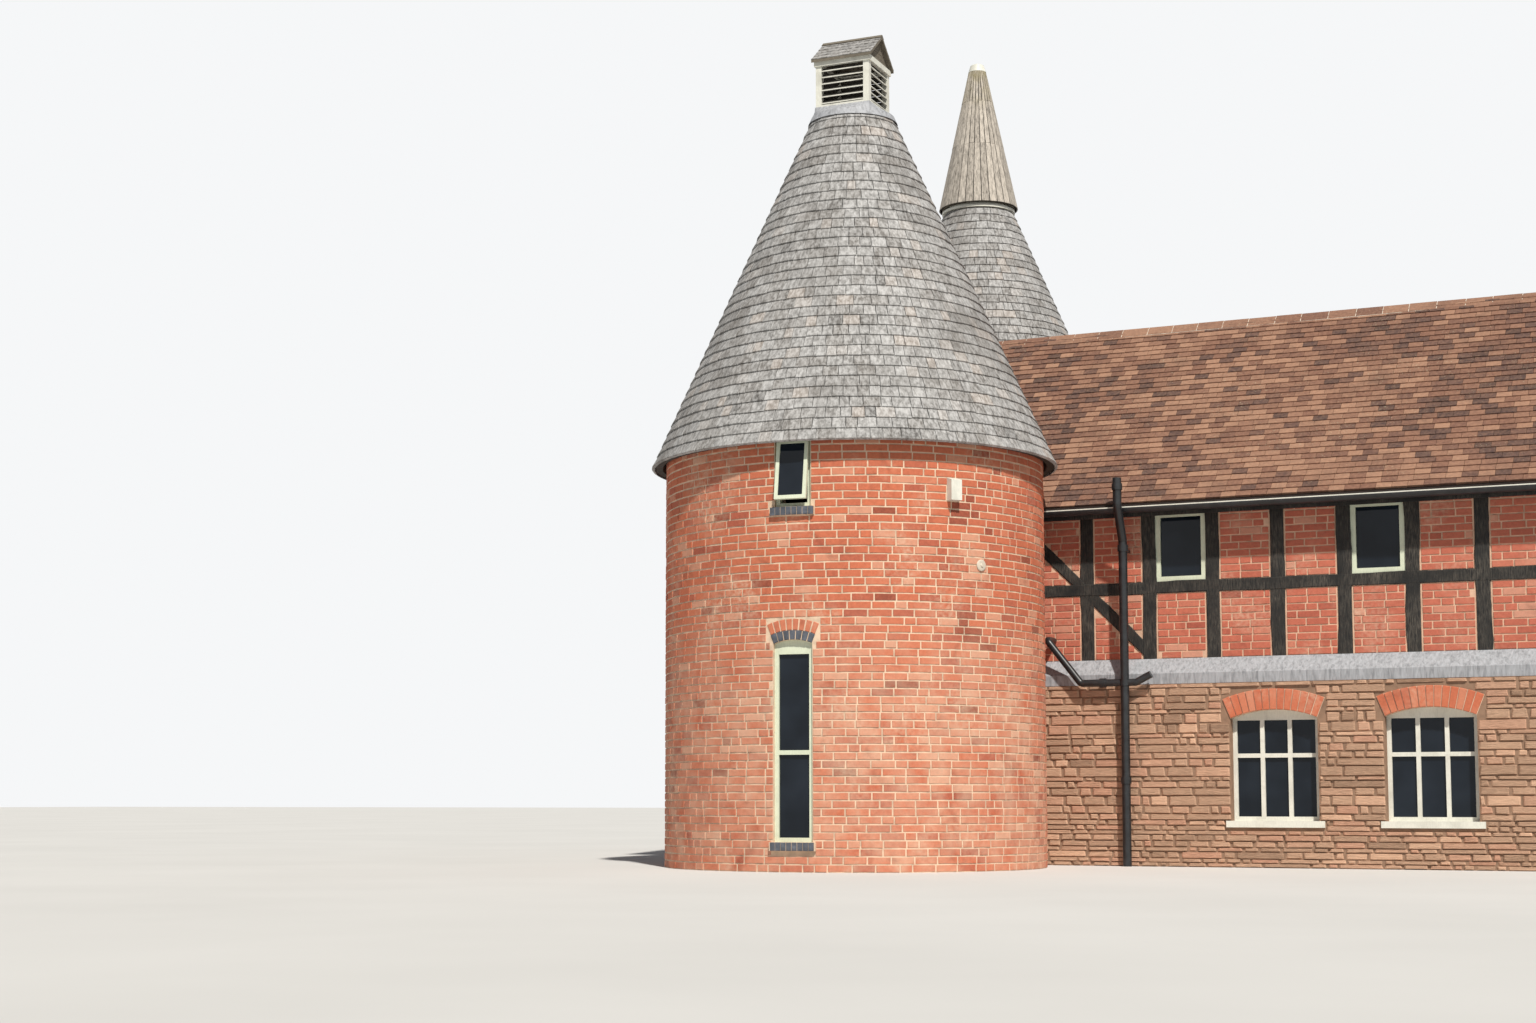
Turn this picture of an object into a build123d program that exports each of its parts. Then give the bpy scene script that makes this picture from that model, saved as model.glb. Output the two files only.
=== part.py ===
from build123d import *
from collections import namedtuple
from math import asin, cos, degrees, hypot, radians, sin, sqrt, tan
import os

# Oast house: two round kilns against a half-timbered wing with a stone lower storey.
# Millimetres. x runs along the wing's ridge, y is measured from the ridge line, z is up from the ground.

os.makedirs("parts", exist_ok=True)

# Clearances
seat = 0.3                      # between pieces fitted into each other
running_gap = 15.0              # between the turning cowl and what stands still
spindle_gap = 0.6               # round the cowl's spindle in its bearings

# Kiln walls and their conical roofs
kiln_wall_radius = 2070.0
kiln_wall_thickness = 340.0
kiln_wall_segments = 2
kiln_eaves_overhang = 168.0
kiln_roof_thickness = 110.0     # square to the slope
wall_plate_width = 220.0
wall_plate_rise = 46.0          # from the eaves edge up to the top of the brickwork
wall_plate_height = 116.0
kiln_floor_top = 2700.0
kiln_floor_thickness = 150.0
front_kiln_rise = 369.0         # front kiln's eaves above the wing's
front_cone_height = 3976.0
front_throat_radius = 462.0
rear_kiln_rise = 1185.0
rear_cone_height = 4025.0
rear_throat_radius = 518.0

# Where the kilns stand
kiln_stand_off = 1540.0         # kiln's axis in front of the wing's timber face
rear_kiln_shift = 1170.0        # rear kiln's axis further left than the front one

# Kiln windows
window_bearing = -85.0          # direction that the front kiln's windows face, degrees from +x
kiln_upper_width = 385.0
kiln_upper_drop = 710.0         # from the top of the wall to the upper window's sill
kiln_tall_width = 415.0
kiln_tall_sill = 300.0
kiln_tall_spring = 2298.0
kiln_tall_rise = 40.0
kiln_tall_panel = 145.0         # height of the plain head panel, up to the crown
kiln_tall_transom = 1200.0
kiln_arch_height = 95.0
kiln_arch_depth = 215.0
kiln_sill_height = 86.0
kiln_sill_proud = 40.0
kiln_sill_bed = 110.0
kiln_sill_overhang = 38.0
kiln_frame_bar = 45.0
kiln_frame_depth = 70.0
kiln_frame_setback = 45.0
sash_bar = 38.0
sash_thickness = 36.0
sash_tilt = 9.0
glass_thickness = 10.0

# Nest box on the front kiln
nest_box_bearing = -38.5
nest_box_width = 125.0
nest_box_depth = 95.0
nest_box_bottom = 3763.0
nest_box_top = 4000.0
nest_box_slope = 28.0

# Louvred vent on the front kiln
vent_turn = 1.0
vent_size = 635.0
vent_post = 68.0
vent_rail_rise = 75.0           # above the throat
vent_rail_height = 35.0
vent_opening_height = 443.0
vent_head_height = 62.0
vent_board_thickness = 16.0
louvre_count = 6
louvre_depth = 68.0
louvre_thickness = 12.0
louvre_angle = 38.0
vent_roof_pitch = 38.5
vent_roof_overhang = 24.0
vent_roof_thickness = 26.0
apron_thickness = 6.0
apron_lap = 78.0                # how far the lead laps down over the shingles
apron_rise = 88.0               # above the throat

# Turning cowl on the rear kiln
curb_height = 36.0
curb_overhang = 8.0
curb_upstand = 120.0
curb_upstand_thickness = 25.0
curb_upstand_radius = 450.0
cowl_lift = 70.0                # from the roof's throat up to the cowl's lower edge
cowl_base_radius = 569.0
cowl_top_radius = 121.0
cowl_height = 2059.0
cowl_board = 24.0
cowl_mouth_bearing = 90.0
cowl_mouth_width = 600.0
cowl_mouth_bottom = 170.0
cowl_mouth_height = 1080.0
cowl_mouth_back = 150.0
cowl_ring_height = 90.0
cowl_ring_width = 34.0
cowl_spoke_width = 90.0
cowl_spoke_height = 60.0
cowl_hub_radius = 80.0
cowl_head_height = 150.0
cowl_cap_height = 131.0
cowl_cap_edge = 100.0           # from its foot up to its low crown
cowl_cap_crown = 100.0          # radius at the foot of the crown
cowl_cap_lip = 10.0
spindle_radius = 22.0
spindle_socket = 70.0
beam_width = 140.0
beam_height = 160.0
beam_drop = 200.0               # top of the beam below the throat

# Wing plan
wing_depth = 4440.0             # timber face to timber face
wing_left_run = 2800.0          # front kiln's axis to the left gable's timber face
first_stud_run = 1477.0         # front kiln's axis to the middle of the first stud
stud_pitch = 710.0
panel_count = 12                # two panels to each of six bays
verge_overhang = 150.0

# Stone lower storey
stone_thickness = 450.0
stone_proud = 120.0             # stone face in front of the timber face
stone_top = 2100.0
stone_window_width = 930.0
stone_window_sill = 500.0
stone_window_drop = 500.0       # from the top of the stone to the springing
stone_window_rise = 90.0
stone_window_top_light = 400.0  # from the transom to the springing
stone_window_panel = 110.0
stone_window_lights = 3
stone_window_setback = 110.0
stone_window_first = 4265.0     # from the front kiln's axis
stone_window_pitch = 1630.0
stone_window_count = 4
stone_sill_height = 70.0
stone_sill_proud = 25.0
stone_sill_bed = 180.0
stone_sill_overhang = 60.0
brick_arch_height = 225.0
brick_arch_depth = 215.0
ledge_rise = 175.0
ledge_drip = 110.0
lead_thickness = 5.0
ground_floor_thickness = 100.0
first_floor_thickness = 200.0

# Timber-framed upper storey
timber_depth = 120.0
stud_width = 145.0
rail_bottom = 3000.0
rail_height = 130.0
plate_bottom = 3900.0
tie_height = 170.0
brace_width = 120.0
brace_head_drop = 160.0         # below the plate
brace_foot_rise = 55.0          # above the ledge
collar_rise = 1250.0            # above the underside of the plate
collar_height = 140.0
rafter_depth = 150.0
gable_studs = (355.0, 1065.0)
brick_recess = 8.0
brick_thickness = 105.0
casement_every = 3              # one panel in three has a casement
casement_first = 2
casement_bar = 55.0
casement_depth = 70.0
casement_setback = 15.0

# Wing roof
roof_pitch = 45.0
roof_thickness = 120.0          # square to the slope
eaves_rise = 85.0               # above the underside of the plate
eaves_overhang = 262.0
tile_edge = 40.0
roof_kiln_gap = 10.0
ridge_tile_width = 250.0
ridge_tile_thickness = 22.0
ridge_tile_round = 60.0
fascia_thickness = 25.0
fascia_height = 105.0
fascia_setback = 30.0
gutter_radius = 58.0
gutter_wall = 5.0
gutter_drop = 14.0
flashing_height = 130.0
flashing_thickness = 5.0
fillet_size = 55.0

# Soil pipe on the front wall
pipe_radius = 48.0
pipe_run = 2666.0               # from the front kiln's axis
pipe_rise = 270.0               # above the wing's eaves
pipe_bottom = 0.0
pipe_wall_gap = 60.0            # clear of the stone face
pipe_gutter_gap = 30.0          # clear of the gutter, above the offset
offset_drop = 35.0              # below the wing's eaves
offset_height = 380.0
offset_bend = 60.0
collar_radius = 58.0
collar_length = 70.0
branch_radius = 40.0
branch_collar_radius = 52.0
branch_drop = 90.0              # below the top of the stone
branch_wall_run = 1780.0
branch_wall_height = 2506.0
branch_elbow_run = 2168.0
branch_collar_run = 2385.0
branch_end_run = 2793.0
branch_tip_run = 2962.0
branch_tip_rise = 85.0
branch_bend = 60.0
branch_tip_bend = 30.0
low_collar_heights = (900.0, 1975.0)
collar_below_offset = 110.0
collar_above_offset = 170.0
bracket_width = 40.0
bracket_height = 30.0

# Sizes worked out from those above
half_depth = wing_depth / 2
ledge_top = stone_top + ledge_rise
first_floor_top = stone_top
stone_window_spring = stone_top - stone_window_drop
stone_window_transom = stone_window_spring - stone_window_top_light
rail_top = rail_bottom + rail_height
brace_head = plate_bottom - brace_head_drop
brace_foot = ledge_top + brace_foot_rise
collar_bottom = plate_bottom + collar_rise
eaves_height = plate_bottom + eaves_rise
kiln_eaves_radius = kiln_wall_radius + kiln_eaves_overhang
front_eaves_height = eaves_height + front_kiln_rise
front_throat_height = front_eaves_height + front_cone_height
rear_eaves_height = eaves_height + rear_kiln_rise
rear_throat_height = rear_eaves_height + rear_cone_height
vent_rail_bottom = front_throat_height + vent_rail_rise
vent_head_bottom = vent_rail_bottom + vent_rail_height + vent_opening_height
vent_top = vent_head_bottom + vent_head_height
apron_top = front_throat_height + apron_rise
pipe_top = eaves_height + pipe_rise
offset_top = eaves_height - offset_drop
branch_level = stone_top - branch_drop
collar_heights = (
    *low_collar_heights, offset_top - offset_height - collar_below_offset, offset_top + collar_above_offset
)
kiln_distance = half_depth + kiln_stand_off
wing_right_run = first_stud_run + panel_count * stud_pitch + stud_width / 2
overall_length = rear_kiln_shift + kiln_eaves_radius + wing_right_run + verge_overhang
front_kiln_x = -overall_length / 2 + kiln_eaves_radius + rear_kiln_shift
rear_kiln_x = front_kiln_x - rear_kiln_shift
wing_left = front_kiln_x - wing_left_run
wing_right = front_kiln_x + wing_right_run
timber_inner = half_depth - timber_depth
stone_outer = half_depth + stone_proud
stone_inner = stone_outer - stone_thickness
roof_slope = tan(radians(roof_pitch))
roof_drop = roof_thickness / cos(radians(roof_pitch))
eaves_reach = half_depth + eaves_overhang
ridge_height = eaves_height + eaves_reach * roof_slope
soffit_height = eaves_height - tile_edge
casement_width = stud_pitch - stud_width
first_stud_x = front_kiln_x + first_stud_run


def roof_top(reach):
    """Height of the wing roof's outer surface at a distance from the ridge line."""
    return ridge_height - abs(reach) * roof_slope


def roof_underside(reach):
    """Height of the wing roof's underside at a distance from the ridge line."""
    return roof_top(reach) - roof_drop


Kiln = namedtuple("Kiln", "name centre eaves_height throat_height throat_radius bearing")
front_kiln = Kiln(
    "front", (front_kiln_x, -kiln_distance), front_eaves_height,
    front_throat_height, front_throat_radius, window_bearing,
)
rear_kiln = Kiln(
    "rear", (rear_kiln_x, kiln_distance), rear_eaves_height,
    rear_throat_height, rear_throat_radius, -window_bearing,
)
kilns = (front_kiln, rear_kiln)


def cone_slope(kiln):
    return (kiln.throat_height - kiln.eaves_height) / (kiln_eaves_radius - kiln.throat_radius)


def cone_shell_width(kiln):
    """Thickness of the conical roof, measured level."""
    return kiln_roof_thickness * hypot(1, cone_slope(kiln)) / cone_slope(kiln)


def cone_radius(kiln, height):
    """Outer radius of the conical roof at a height."""
    return kiln_eaves_radius - (height - kiln.eaves_height) / cone_slope(kiln)


def wall_top(kiln):
    return kiln.eaves_height + wall_plate_rise


def kiln_axis(kiln):
    return Axis((*kiln.centre, 0), (0, 0, 1))


def radial_plane(centre, bearing):
    """A vertical plane through an upright axis, x outwards along the bearing and y up."""
    across = radians(bearing)
    return Plane(
        origin=(*centre, 0), x_dir=(cos(across), sin(across), 0), z_dir=(sin(across), -cos(across), 0)
    )


def facing_plane(centre, bearing, distance):
    """A vertical plane square to the bearing at a distance, x to the right seen from outside and y up."""
    across = radians(bearing)
    outward = Vector(cos(across), sin(across), 0)
    return Plane(
        origin=Vector(*centre, 0) + outward * distance, x_dir=(-outward.Y, outward.X, 0), z_dir=outward
    )


def tilted(plane, angle):
    """The plane turned about its own x axis, so that a positive angle lifts its normal."""
    lean = radians(angle)
    return Plane(
        origin=plane.origin, x_dir=plane.x_dir, z_dir=plane.z_dir * cos(lean) + plane.y_dir * sin(lean)
    )


def long_wall_plane(side, distance):
    """The plane of a long wall, side -1 at the front and 1 at the rear, seen from outside."""
    return Plane(origin=(0, side * distance, 0), x_dir=(-side, 0, 0), z_dir=(0, side, 0))


def gable_plane(side, place):
    """The plane of a gable wall, side -1 at the left and 1 at the right, seen from outside."""
    return Plane(origin=(place, 0, 0), x_dir=(0, side, 0), z_dir=(side, 0, 0))


def draw_bar(low_x, high_x, low_y, high_y, mode=Mode.ADD):
    with Locations(((low_x + high_x) / 2, (low_y + high_y) / 2)):
        Rectangle(abs(high_x - low_x), high_y - low_y, mode=mode)


def draw_outline(points, mode=Mode.ADD):
    with BuildLine(mode=Mode.PRIVATE) as outline:
        Polyline(*points, close=True)
    make_face(outline.edges(), mode=mode)


def draw_arched(middle, width, sill, spring, rise, inset=0.0, mode=Mode.ADD):
    """An opening with a segmental head, drawn inside its own edge by the inset."""
    half = width / 2 - inset
    with BuildLine(mode=Mode.PRIVATE) as outline:
        Polyline(
            (middle - half, spring), (middle - half, sill + inset),
            (middle + half, sill + inset), (middle + half, spring),
        )
        ThreePointArc((middle + half, spring), (middle, spring + rise - inset), (middle - half, spring))
    make_face(outline.edges(), mode=mode)


def draw_arch_ring(middle, width, spring, rise, height):
    """The bricks over a segmental head, between the head's curve and one drawn above it."""
    half = width / 2
    radius = (half**2 + rise**2) / (2 * rise)
    growth = (radius + height) / radius
    centre_y = spring + rise - radius
    outer_half = half * growth
    outer_spring = centre_y + (spring - centre_y) * growth
    with BuildLine(mode=Mode.PRIVATE) as outline:
        ThreePointArc((middle - half, spring), (middle, spring + rise), (middle + half, spring))
        Line((middle + half, spring), (middle + outer_half, outer_spring))
        ThreePointArc(
            (middle + outer_half, outer_spring), (middle, spring + rise + height),
            (middle - outer_half, outer_spring),
        )
        Line((middle - outer_half, outer_spring), (middle - half, spring))
    make_face(outline.edges())


def draw_glazed_frame(middle, width, sill, spring, rise, bar, lights, transom, panel):
    """An arched window frame with a plain head panel, mullions between its lights and one transom."""
    draw_arched(middle, width, sill, spring, rise, inset=seat)
    light = (width - bar * (lights + 1)) / lights
    head = spring + rise - panel
    for number in range(lights):
        left = middle - width / 2 + bar + number * (light + bar)
        draw_bar(left, left + light, sill + bar, transom - bar / 2, mode=Mode.SUBTRACT)
        draw_bar(left, left + light, transom + bar / 2, head, mode=Mode.SUBTRACT)


def draw_panes(middle, width, sill, spring, rise, bar, lights, transom, panel, fit=seat):
    """The panes that fill the same frame."""
    light = (width - bar * (lights + 1)) / lights
    head = spring + rise - panel
    for number in range(lights):
        left = middle - width / 2 + bar + number * (light + bar)
        draw_bar(left + fit, left + light - fit, sill + bar + fit, transom - bar / 2 - fit)
        draw_bar(left + fit, left + light - fit, transom + bar / 2 + fit, head - fit)


def save(builder, name):
    builder.part.label = name
    export_step(builder.part, f"parts/{name}.step")


def kiln_ring(kiln, inner, outer, bottom, top, start=0.0, arc=360.0):
    """A round wall, or a stretch of one, about a kiln's axis."""
    with BuildPart() as ring:
        with BuildSketch(radial_plane(kiln.centre, start)):
            draw_bar(inner, outer, bottom, top)
        revolve(axis=kiln_axis(kiln), revolution_arc=arc)
    return ring.part


def kiln_envelope(kiln, gap):
    """Everything inside a kiln's outer surface, grown by a gap, for trimming what meets it."""
    with BuildPart() as envelope:
        with BuildSketch(radial_plane(kiln.centre, 0)):
            draw_outline([
                (0, -gap),
                (kiln_wall_radius + gap, -gap),
                (kiln_wall_radius + gap, kiln.eaves_height - gap),
                (kiln_eaves_radius + gap, kiln.eaves_height - gap),
                (kiln.throat_radius + gap, kiln.throat_height),
                (0, kiln.throat_height),
            ])
        revolve(axis=kiln_axis(kiln))
    return envelope.part


wall_envelopes = [kiln_envelope(kiln, seat) for kiln in kilns]
roof_envelopes = [kiln_envelope(kiln, roof_kiln_gap) for kiln in kilns]


def trim_to_kilns(envelopes):
    for envelope in envelopes:
        add(envelope, mode=Mode.SUBTRACT)


# Kiln windows: openings, blue-brick arches and sills, frames, sashes and glass
def upper_sill(kiln):
    return wall_top(kiln) - kiln_upper_drop


def tall_arch(kiln):
    with BuildPart() as arch:
        with BuildSketch(facing_plane(kiln.centre, kiln.bearing, kiln_wall_radius - kiln_arch_depth)):
            draw_arch_ring(0, kiln_tall_width, kiln_tall_spring, kiln_tall_rise, kiln_arch_height)
        extrude(amount=kiln_arch_depth + seat)
        add(
            kiln_ring(kiln, kiln_wall_radius - kiln_arch_depth, kiln_wall_radius, 0, wall_top(kiln)),
            mode=Mode.INTERSECT,
        )
    return arch.part


def window_sill(kiln, width, top):
    with BuildPart() as sill:
        with BuildSketch(facing_plane(kiln.centre, kiln.bearing, kiln_wall_radius - 2 * kiln_sill_bed)):
            half = width / 2 + kiln_sill_overhang
            draw_bar(-half, half, top - kiln_sill_height, top)
        extrude(amount=2 * kiln_sill_bed + kiln_sill_proud)
        add(
            kiln_ring(
                kiln, kiln_wall_radius - kiln_sill_bed, kiln_wall_radius + kiln_sill_proud, 0, wall_top(kiln)
            ),
            mode=Mode.INTERSECT,
        )
    return sill.part


def window_openings(kiln):
    """The two openings through a kiln's wall, one over the other."""
    with BuildPart() as openings:
        with BuildSketch(facing_plane(kiln.centre, kiln.bearing, kiln_wall_radius / 2)):
            half = kiln_upper_width / 2
            draw_bar(-half, half, upper_sill(kiln), wall_top(kiln) + kiln_upper_drop)
            draw_arched(0, kiln_tall_width, kiln_tall_sill, kiln_tall_spring, kiln_tall_rise)
        extrude(amount=kiln_wall_radius)
    return openings.part


def kiln_wall_name(kiln, number):
    return f"{kiln.name}_kiln_wall_{number + 1}"


for kiln in kilns:
    arc = 360 / kiln_wall_segments
    for number in range(kiln_wall_segments):
        start = kiln.bearing - arc / 2 + number * arc
        with BuildPart() as kiln_wall:
            add(
                kiln_ring(
                    kiln, kiln_wall_radius - kiln_wall_thickness, kiln_wall_radius,
                    0, wall_top(kiln), start, arc,
                )
            )
            if number == 0:
                add(window_openings(kiln), mode=Mode.SUBTRACT)
                add(tall_arch(kiln), mode=Mode.SUBTRACT)
                add(window_sill(kiln, kiln_upper_width, upper_sill(kiln)), mode=Mode.SUBTRACT)
                add(window_sill(kiln, kiln_tall_width, kiln_tall_sill), mode=Mode.SUBTRACT)
        save(kiln_wall, kiln_wall_name(kiln, number))

with BuildPart() as kiln_window_arches:
    for kiln in kilns:
        add(tall_arch(kiln))
save(kiln_window_arches, "kiln_window_arches")

with BuildPart() as kiln_window_sills:
    for kiln in kilns:
        add(window_sill(kiln, kiln_upper_width, upper_sill(kiln)))
        add(window_sill(kiln, kiln_tall_width, kiln_tall_sill))
save(kiln_window_sills, "kiln_window_sills")

with BuildPart() as kiln_window_frames:
    for kiln in kilns:
        with BuildSketch(facing_plane(kiln.centre, kiln.bearing, kiln_wall_radius - kiln_frame_setback)):
            half = kiln_upper_width / 2 - seat
            low = upper_sill(kiln)
            high = wall_top(kiln)
            draw_bar(-half, half, low, high)
            draw_bar(
                kiln_frame_bar - half, half - kiln_frame_bar,
                low + kiln_frame_bar, high - kiln_frame_bar, mode=Mode.SUBTRACT,
            )
            draw_glazed_frame(
                0, kiln_tall_width, kiln_tall_sill, kiln_tall_spring, kiln_tall_rise,
                kiln_frame_bar, 1, kiln_tall_transom, kiln_tall_panel,
            )
        extrude(amount=-kiln_frame_depth)
save(kiln_window_frames, "kiln_window_frames")


def sash_plane(kiln):
    """The tilted plane of a top-hung sash, its origin at the middle of the top edge of its inner face."""
    upright = facing_plane(kiln.centre, kiln.bearing, kiln_wall_radius - kiln_frame_setback + seat)
    upright.origin = upright.origin + Vector(0, 0, wall_top(kiln) - kiln_frame_bar / 2)
    return tilted(upright, sash_tilt)


sash_width = kiln_upper_width - kiln_frame_bar
sash_height = kiln_upper_drop - kiln_frame_bar - kiln_sill_proud

with BuildPart() as kiln_window_sashes:
    for kiln in kilns:
        with BuildSketch(sash_plane(kiln)):
            draw_bar(-sash_width / 2, sash_width / 2, -sash_height, 0)
            draw_bar(
                sash_bar - sash_width / 2, sash_width / 2 - sash_bar,
                sash_bar - sash_height, -sash_bar, mode=Mode.SUBTRACT,
            )
        extrude(amount=sash_thickness)
save(kiln_window_sashes, "kiln_window_sashes")

with BuildPart() as kiln_window_glass:
    for kiln in kilns:
        with BuildSketch(sash_plane(kiln).offset((sash_thickness - glass_thickness) / 2)):
            half = sash_width / 2 - sash_bar - seat
            draw_bar(-half, half, sash_bar + seat - sash_height, -sash_bar - seat)
        extrude(amount=glass_thickness)
        pane_place = kiln_wall_radius - kiln_frame_setback - (kiln_frame_depth - glass_thickness) / 2
        with BuildSketch(facing_plane(kiln.centre, kiln.bearing, pane_place)):
            draw_panes(
                0, kiln_tall_width, kiln_tall_sill, kiln_tall_spring, kiln_tall_rise,
                kiln_frame_bar, 1, kiln_tall_transom, kiln_tall_panel,
            )
        extrude(amount=-glass_thickness)
save(kiln_window_glass, "kiln_window_glass")

# Kiln floors, wall plates and conical roofs
with BuildPart() as kiln_floors:
    for kiln in kilns:
        add(
            kiln_ring(
                kiln, 0, kiln_wall_radius - kiln_wall_thickness - seat,
                kiln_floor_top - kiln_floor_thickness, kiln_floor_top,
            )
        )
save(kiln_floors, "kiln_floors")

with BuildPart() as kiln_wall_plates:
    for kiln in kilns:
        slope = cone_slope(kiln)
        inside = kiln_wall_radius - wall_plate_width
        foot = wall_top(kiln)
        head = foot + wall_plate_height
        shell = cone_shell_width(kiln) + seat
        with BuildSketch(radial_plane(kiln.centre, 0)):
            draw_outline([
                (inside, foot),
                (kiln_wall_radius, foot),
                (kiln_wall_radius, kiln.eaves_height + (kiln_eaves_radius - shell - kiln_wall_radius) * slope),
                (cone_radius(kiln, head) - shell, head),
                (inside, head),
            ])
        revolve(axis=kiln_axis(kiln))
save(kiln_wall_plates, "kiln_wall_plates")

for kiln in kilns:
    shell = cone_shell_width(kiln)
    with BuildPart() as kiln_roof:
        with BuildSketch(radial_plane(kiln.centre, 0)):
            draw_outline([
                (kiln_eaves_radius - shell, kiln.eaves_height),
                (kiln_eaves_radius, kiln.eaves_height),
                (kiln.throat_radius, kiln.throat_height),
                (kiln.throat_radius - shell, kiln.throat_height),
            ])
        revolve(axis=kiln_axis(kiln))
    save(kiln_roof, f"{kiln.name}_kiln_roof")

# Nest box with a sloping lid, hung on the front kiln's wall
with BuildPart() as nest_box:
    with BuildSketch(radial_plane(front_kiln.centre, nest_box_bearing)):
        inside = kiln_wall_radius * cos(asin(nest_box_width / 2 / kiln_wall_radius)) - 1
        outside = kiln_wall_radius + nest_box_depth
        draw_outline([
            (inside, nest_box_bottom), (outside, nest_box_bottom),
            (outside, nest_box_top - nest_box_slope), (inside, nest_box_top),
        ])
    extrude(amount=nest_box_width / 2, both=True)
    add(kiln_ring(front_kiln, 0, kiln_wall_radius + seat, 0, wall_top(front_kiln)), mode=Mode.SUBTRACT)
save(nest_box, "nest_box")

# Louvred vent: a turned square frame of posts and boards on the roof's throat
vent_half = vent_size / 2


def vent_level(height):
    """The vent's level plane at a height, turned with the vent."""
    turn = radians(vent_turn)
    return Plane(origin=(*front_kiln.centre, height), x_dir=(cos(turn), sin(turn), 0))


def vent_side(number, distance):
    """The plane of one side of the vent, numbered round from the front."""
    return facing_plane(front_kiln.centre, vent_turn - 90 + number * 90, distance)


louvre_span = vent_size - 2 * vent_post
rail_top_height = vent_rail_bottom + vent_rail_height
louvre_pitch = (vent_head_bottom - rail_top_height) / louvre_count

with BuildPart() as vent_frame:
    with BuildSketch(vent_level(front_throat_height)):
        with GridLocations(vent_size - vent_post, vent_size - vent_post, 2, 2):
            Rectangle(vent_post, vent_post)
    extrude(amount=vent_top - front_throat_height)
    for bottom, height in ((vent_rail_bottom, vent_rail_height), (vent_head_bottom, vent_top - vent_head_bottom)):
        with BuildSketch(vent_level(bottom)):
            Rectangle(vent_size, vent_size)
            Rectangle(vent_size - vent_post, vent_size - vent_post, mode=Mode.SUBTRACT)
        extrude(amount=height)
save(vent_frame, "vent_frame")

with BuildPart() as vent_louvres:
    for number in range(4):
        for blade in range(louvre_count):
            height = rail_top_height + (blade + 0.5) * louvre_pitch
            slat_plane = vent_side(number, vent_half - louvre_depth / 2)
            slat_plane.origin = slat_plane.origin + Vector(0, 0, height)
            with BuildSketch(tilted(slat_plane, -louvre_angle)):
                Rectangle(louvre_span - 2 * seat, louvre_thickness)
            extrude(amount=louvre_depth / 2, both=True)
save(vent_louvres, "vent_louvres")

with BuildPart() as vent_head_boards:
    with BuildSketch(vent_level(vent_head_bottom)):
        Rectangle(vent_size + 2 * vent_board_thickness, vent_size + 2 * vent_board_thickness)
        Rectangle(vent_size + 2 * seat, vent_size + 2 * seat, mode=Mode.SUBTRACT)
    extrude(amount=vent_top - vent_head_bottom)
save(vent_head_boards, "vent_head_boards")

vent_roof_seat = vent_half + vent_board_thickness
vent_roof_reach = vent_roof_seat + vent_roof_overhang
vent_roof_slope = tan(radians(vent_roof_pitch))
vent_roof_drop = vent_roof_thickness / cos(radians(vent_roof_pitch))
vent_roof_peak = vent_top + vent_roof_seat * vent_roof_slope
vent_roof_eaves = vent_roof_peak - vent_roof_reach * vent_roof_slope

with BuildPart() as vent_roof:
    with BuildSketch(vent_side(1, vent_roof_reach)):
        draw_outline([
            (-vent_roof_reach, vent_roof_eaves), (0, vent_roof_peak), (vent_roof_reach, vent_roof_eaves),
            (vent_roof_reach, vent_roof_eaves + vent_roof_drop), (0, vent_roof_peak + vent_roof_drop),
            (-vent_roof_reach, vent_roof_eaves + vent_roof_drop),
        ])
    extrude(amount=-2 * vent_roof_reach)
save(vent_roof, "vent_roof")

# Lead apron from the round throat up to the square vent, lapped over the top shingles
apron_foot = front_throat_height - apron_lap


def apron_body(grow):
    """The apron's outer form, grown by an amount outwards."""
    with BuildPart() as body:
        with BuildSketch(radial_plane(front_kiln.centre, 0)):
            draw_outline([
                (0, apron_foot),
                (cone_radius(front_kiln, apron_foot) + grow, apron_foot),
                (front_throat_radius + grow, front_throat_height),
                (0, front_throat_height),
            ])
        revolve(axis=kiln_axis(front_kiln))
        with BuildSketch(vent_level(front_throat_height)):
            Circle(front_throat_radius + grow)
        with BuildSketch(vent_level(apron_top)):
            Rectangle(vent_size + 2 * grow, vent_size + 2 * grow)
        loft()
    return body.part


with BuildPart() as lead_apron:
    add(apron_body(apron_thickness))
    add(apron_body(seat), mode=Mode.SUBTRACT)
save(lead_apron, "lead_apron")

# Rear kiln's curb, the beam and spindle that carry the cowl, and the cowl
throat_level = rear_throat_height
cowl_foot = throat_level + cowl_lift
cowl_slope = (cowl_base_radius - cowl_top_radius) / cowl_height
rear_bore = rear_throat_radius - cone_shell_width(rear_kiln)


def rear_level(height):
    return Plane(origin=(*rear_kiln.centre, height))


with BuildPart() as kiln_curb:
    with BuildSketch(radial_plane(rear_kiln.centre, 0)):
        inside = curb_upstand_radius - curb_upstand_thickness
        draw_outline([
            (inside, throat_level),
            (rear_throat_radius + curb_overhang, throat_level),
            (rear_throat_radius + curb_overhang, throat_level + curb_height),
            (curb_upstand_radius, throat_level + curb_height),
            (curb_upstand_radius, throat_level + curb_upstand),
            (inside, throat_level + curb_upstand),
        ])
    revolve(axis=kiln_axis(rear_kiln))
save(kiln_curb, "kiln_curb")

with BuildPart() as spindle_beam:
    with BuildSketch(rear_level(throat_level - beam_drop - beam_height)):
        Rectangle(4 * rear_throat_radius, beam_width)
    extrude(amount=beam_height)
    with BuildSketch(radial_plane(rear_kiln.centre, 0)):
        bore_slope = cone_slope(rear_kiln)
        beam_low = throat_level - beam_drop - beam_height
        draw_outline([
            (0, beam_low),
            (rear_bore + (throat_level - beam_low) / bore_slope - seat, beam_low),
            (rear_bore + beam_drop / bore_slope - seat, throat_level - beam_drop),
            (0, throat_level - beam_drop),
        ])
    revolve(axis=kiln_axis(rear_kiln), mode=Mode.INTERSECT)
save(spindle_beam, "spindle_beam")

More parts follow.
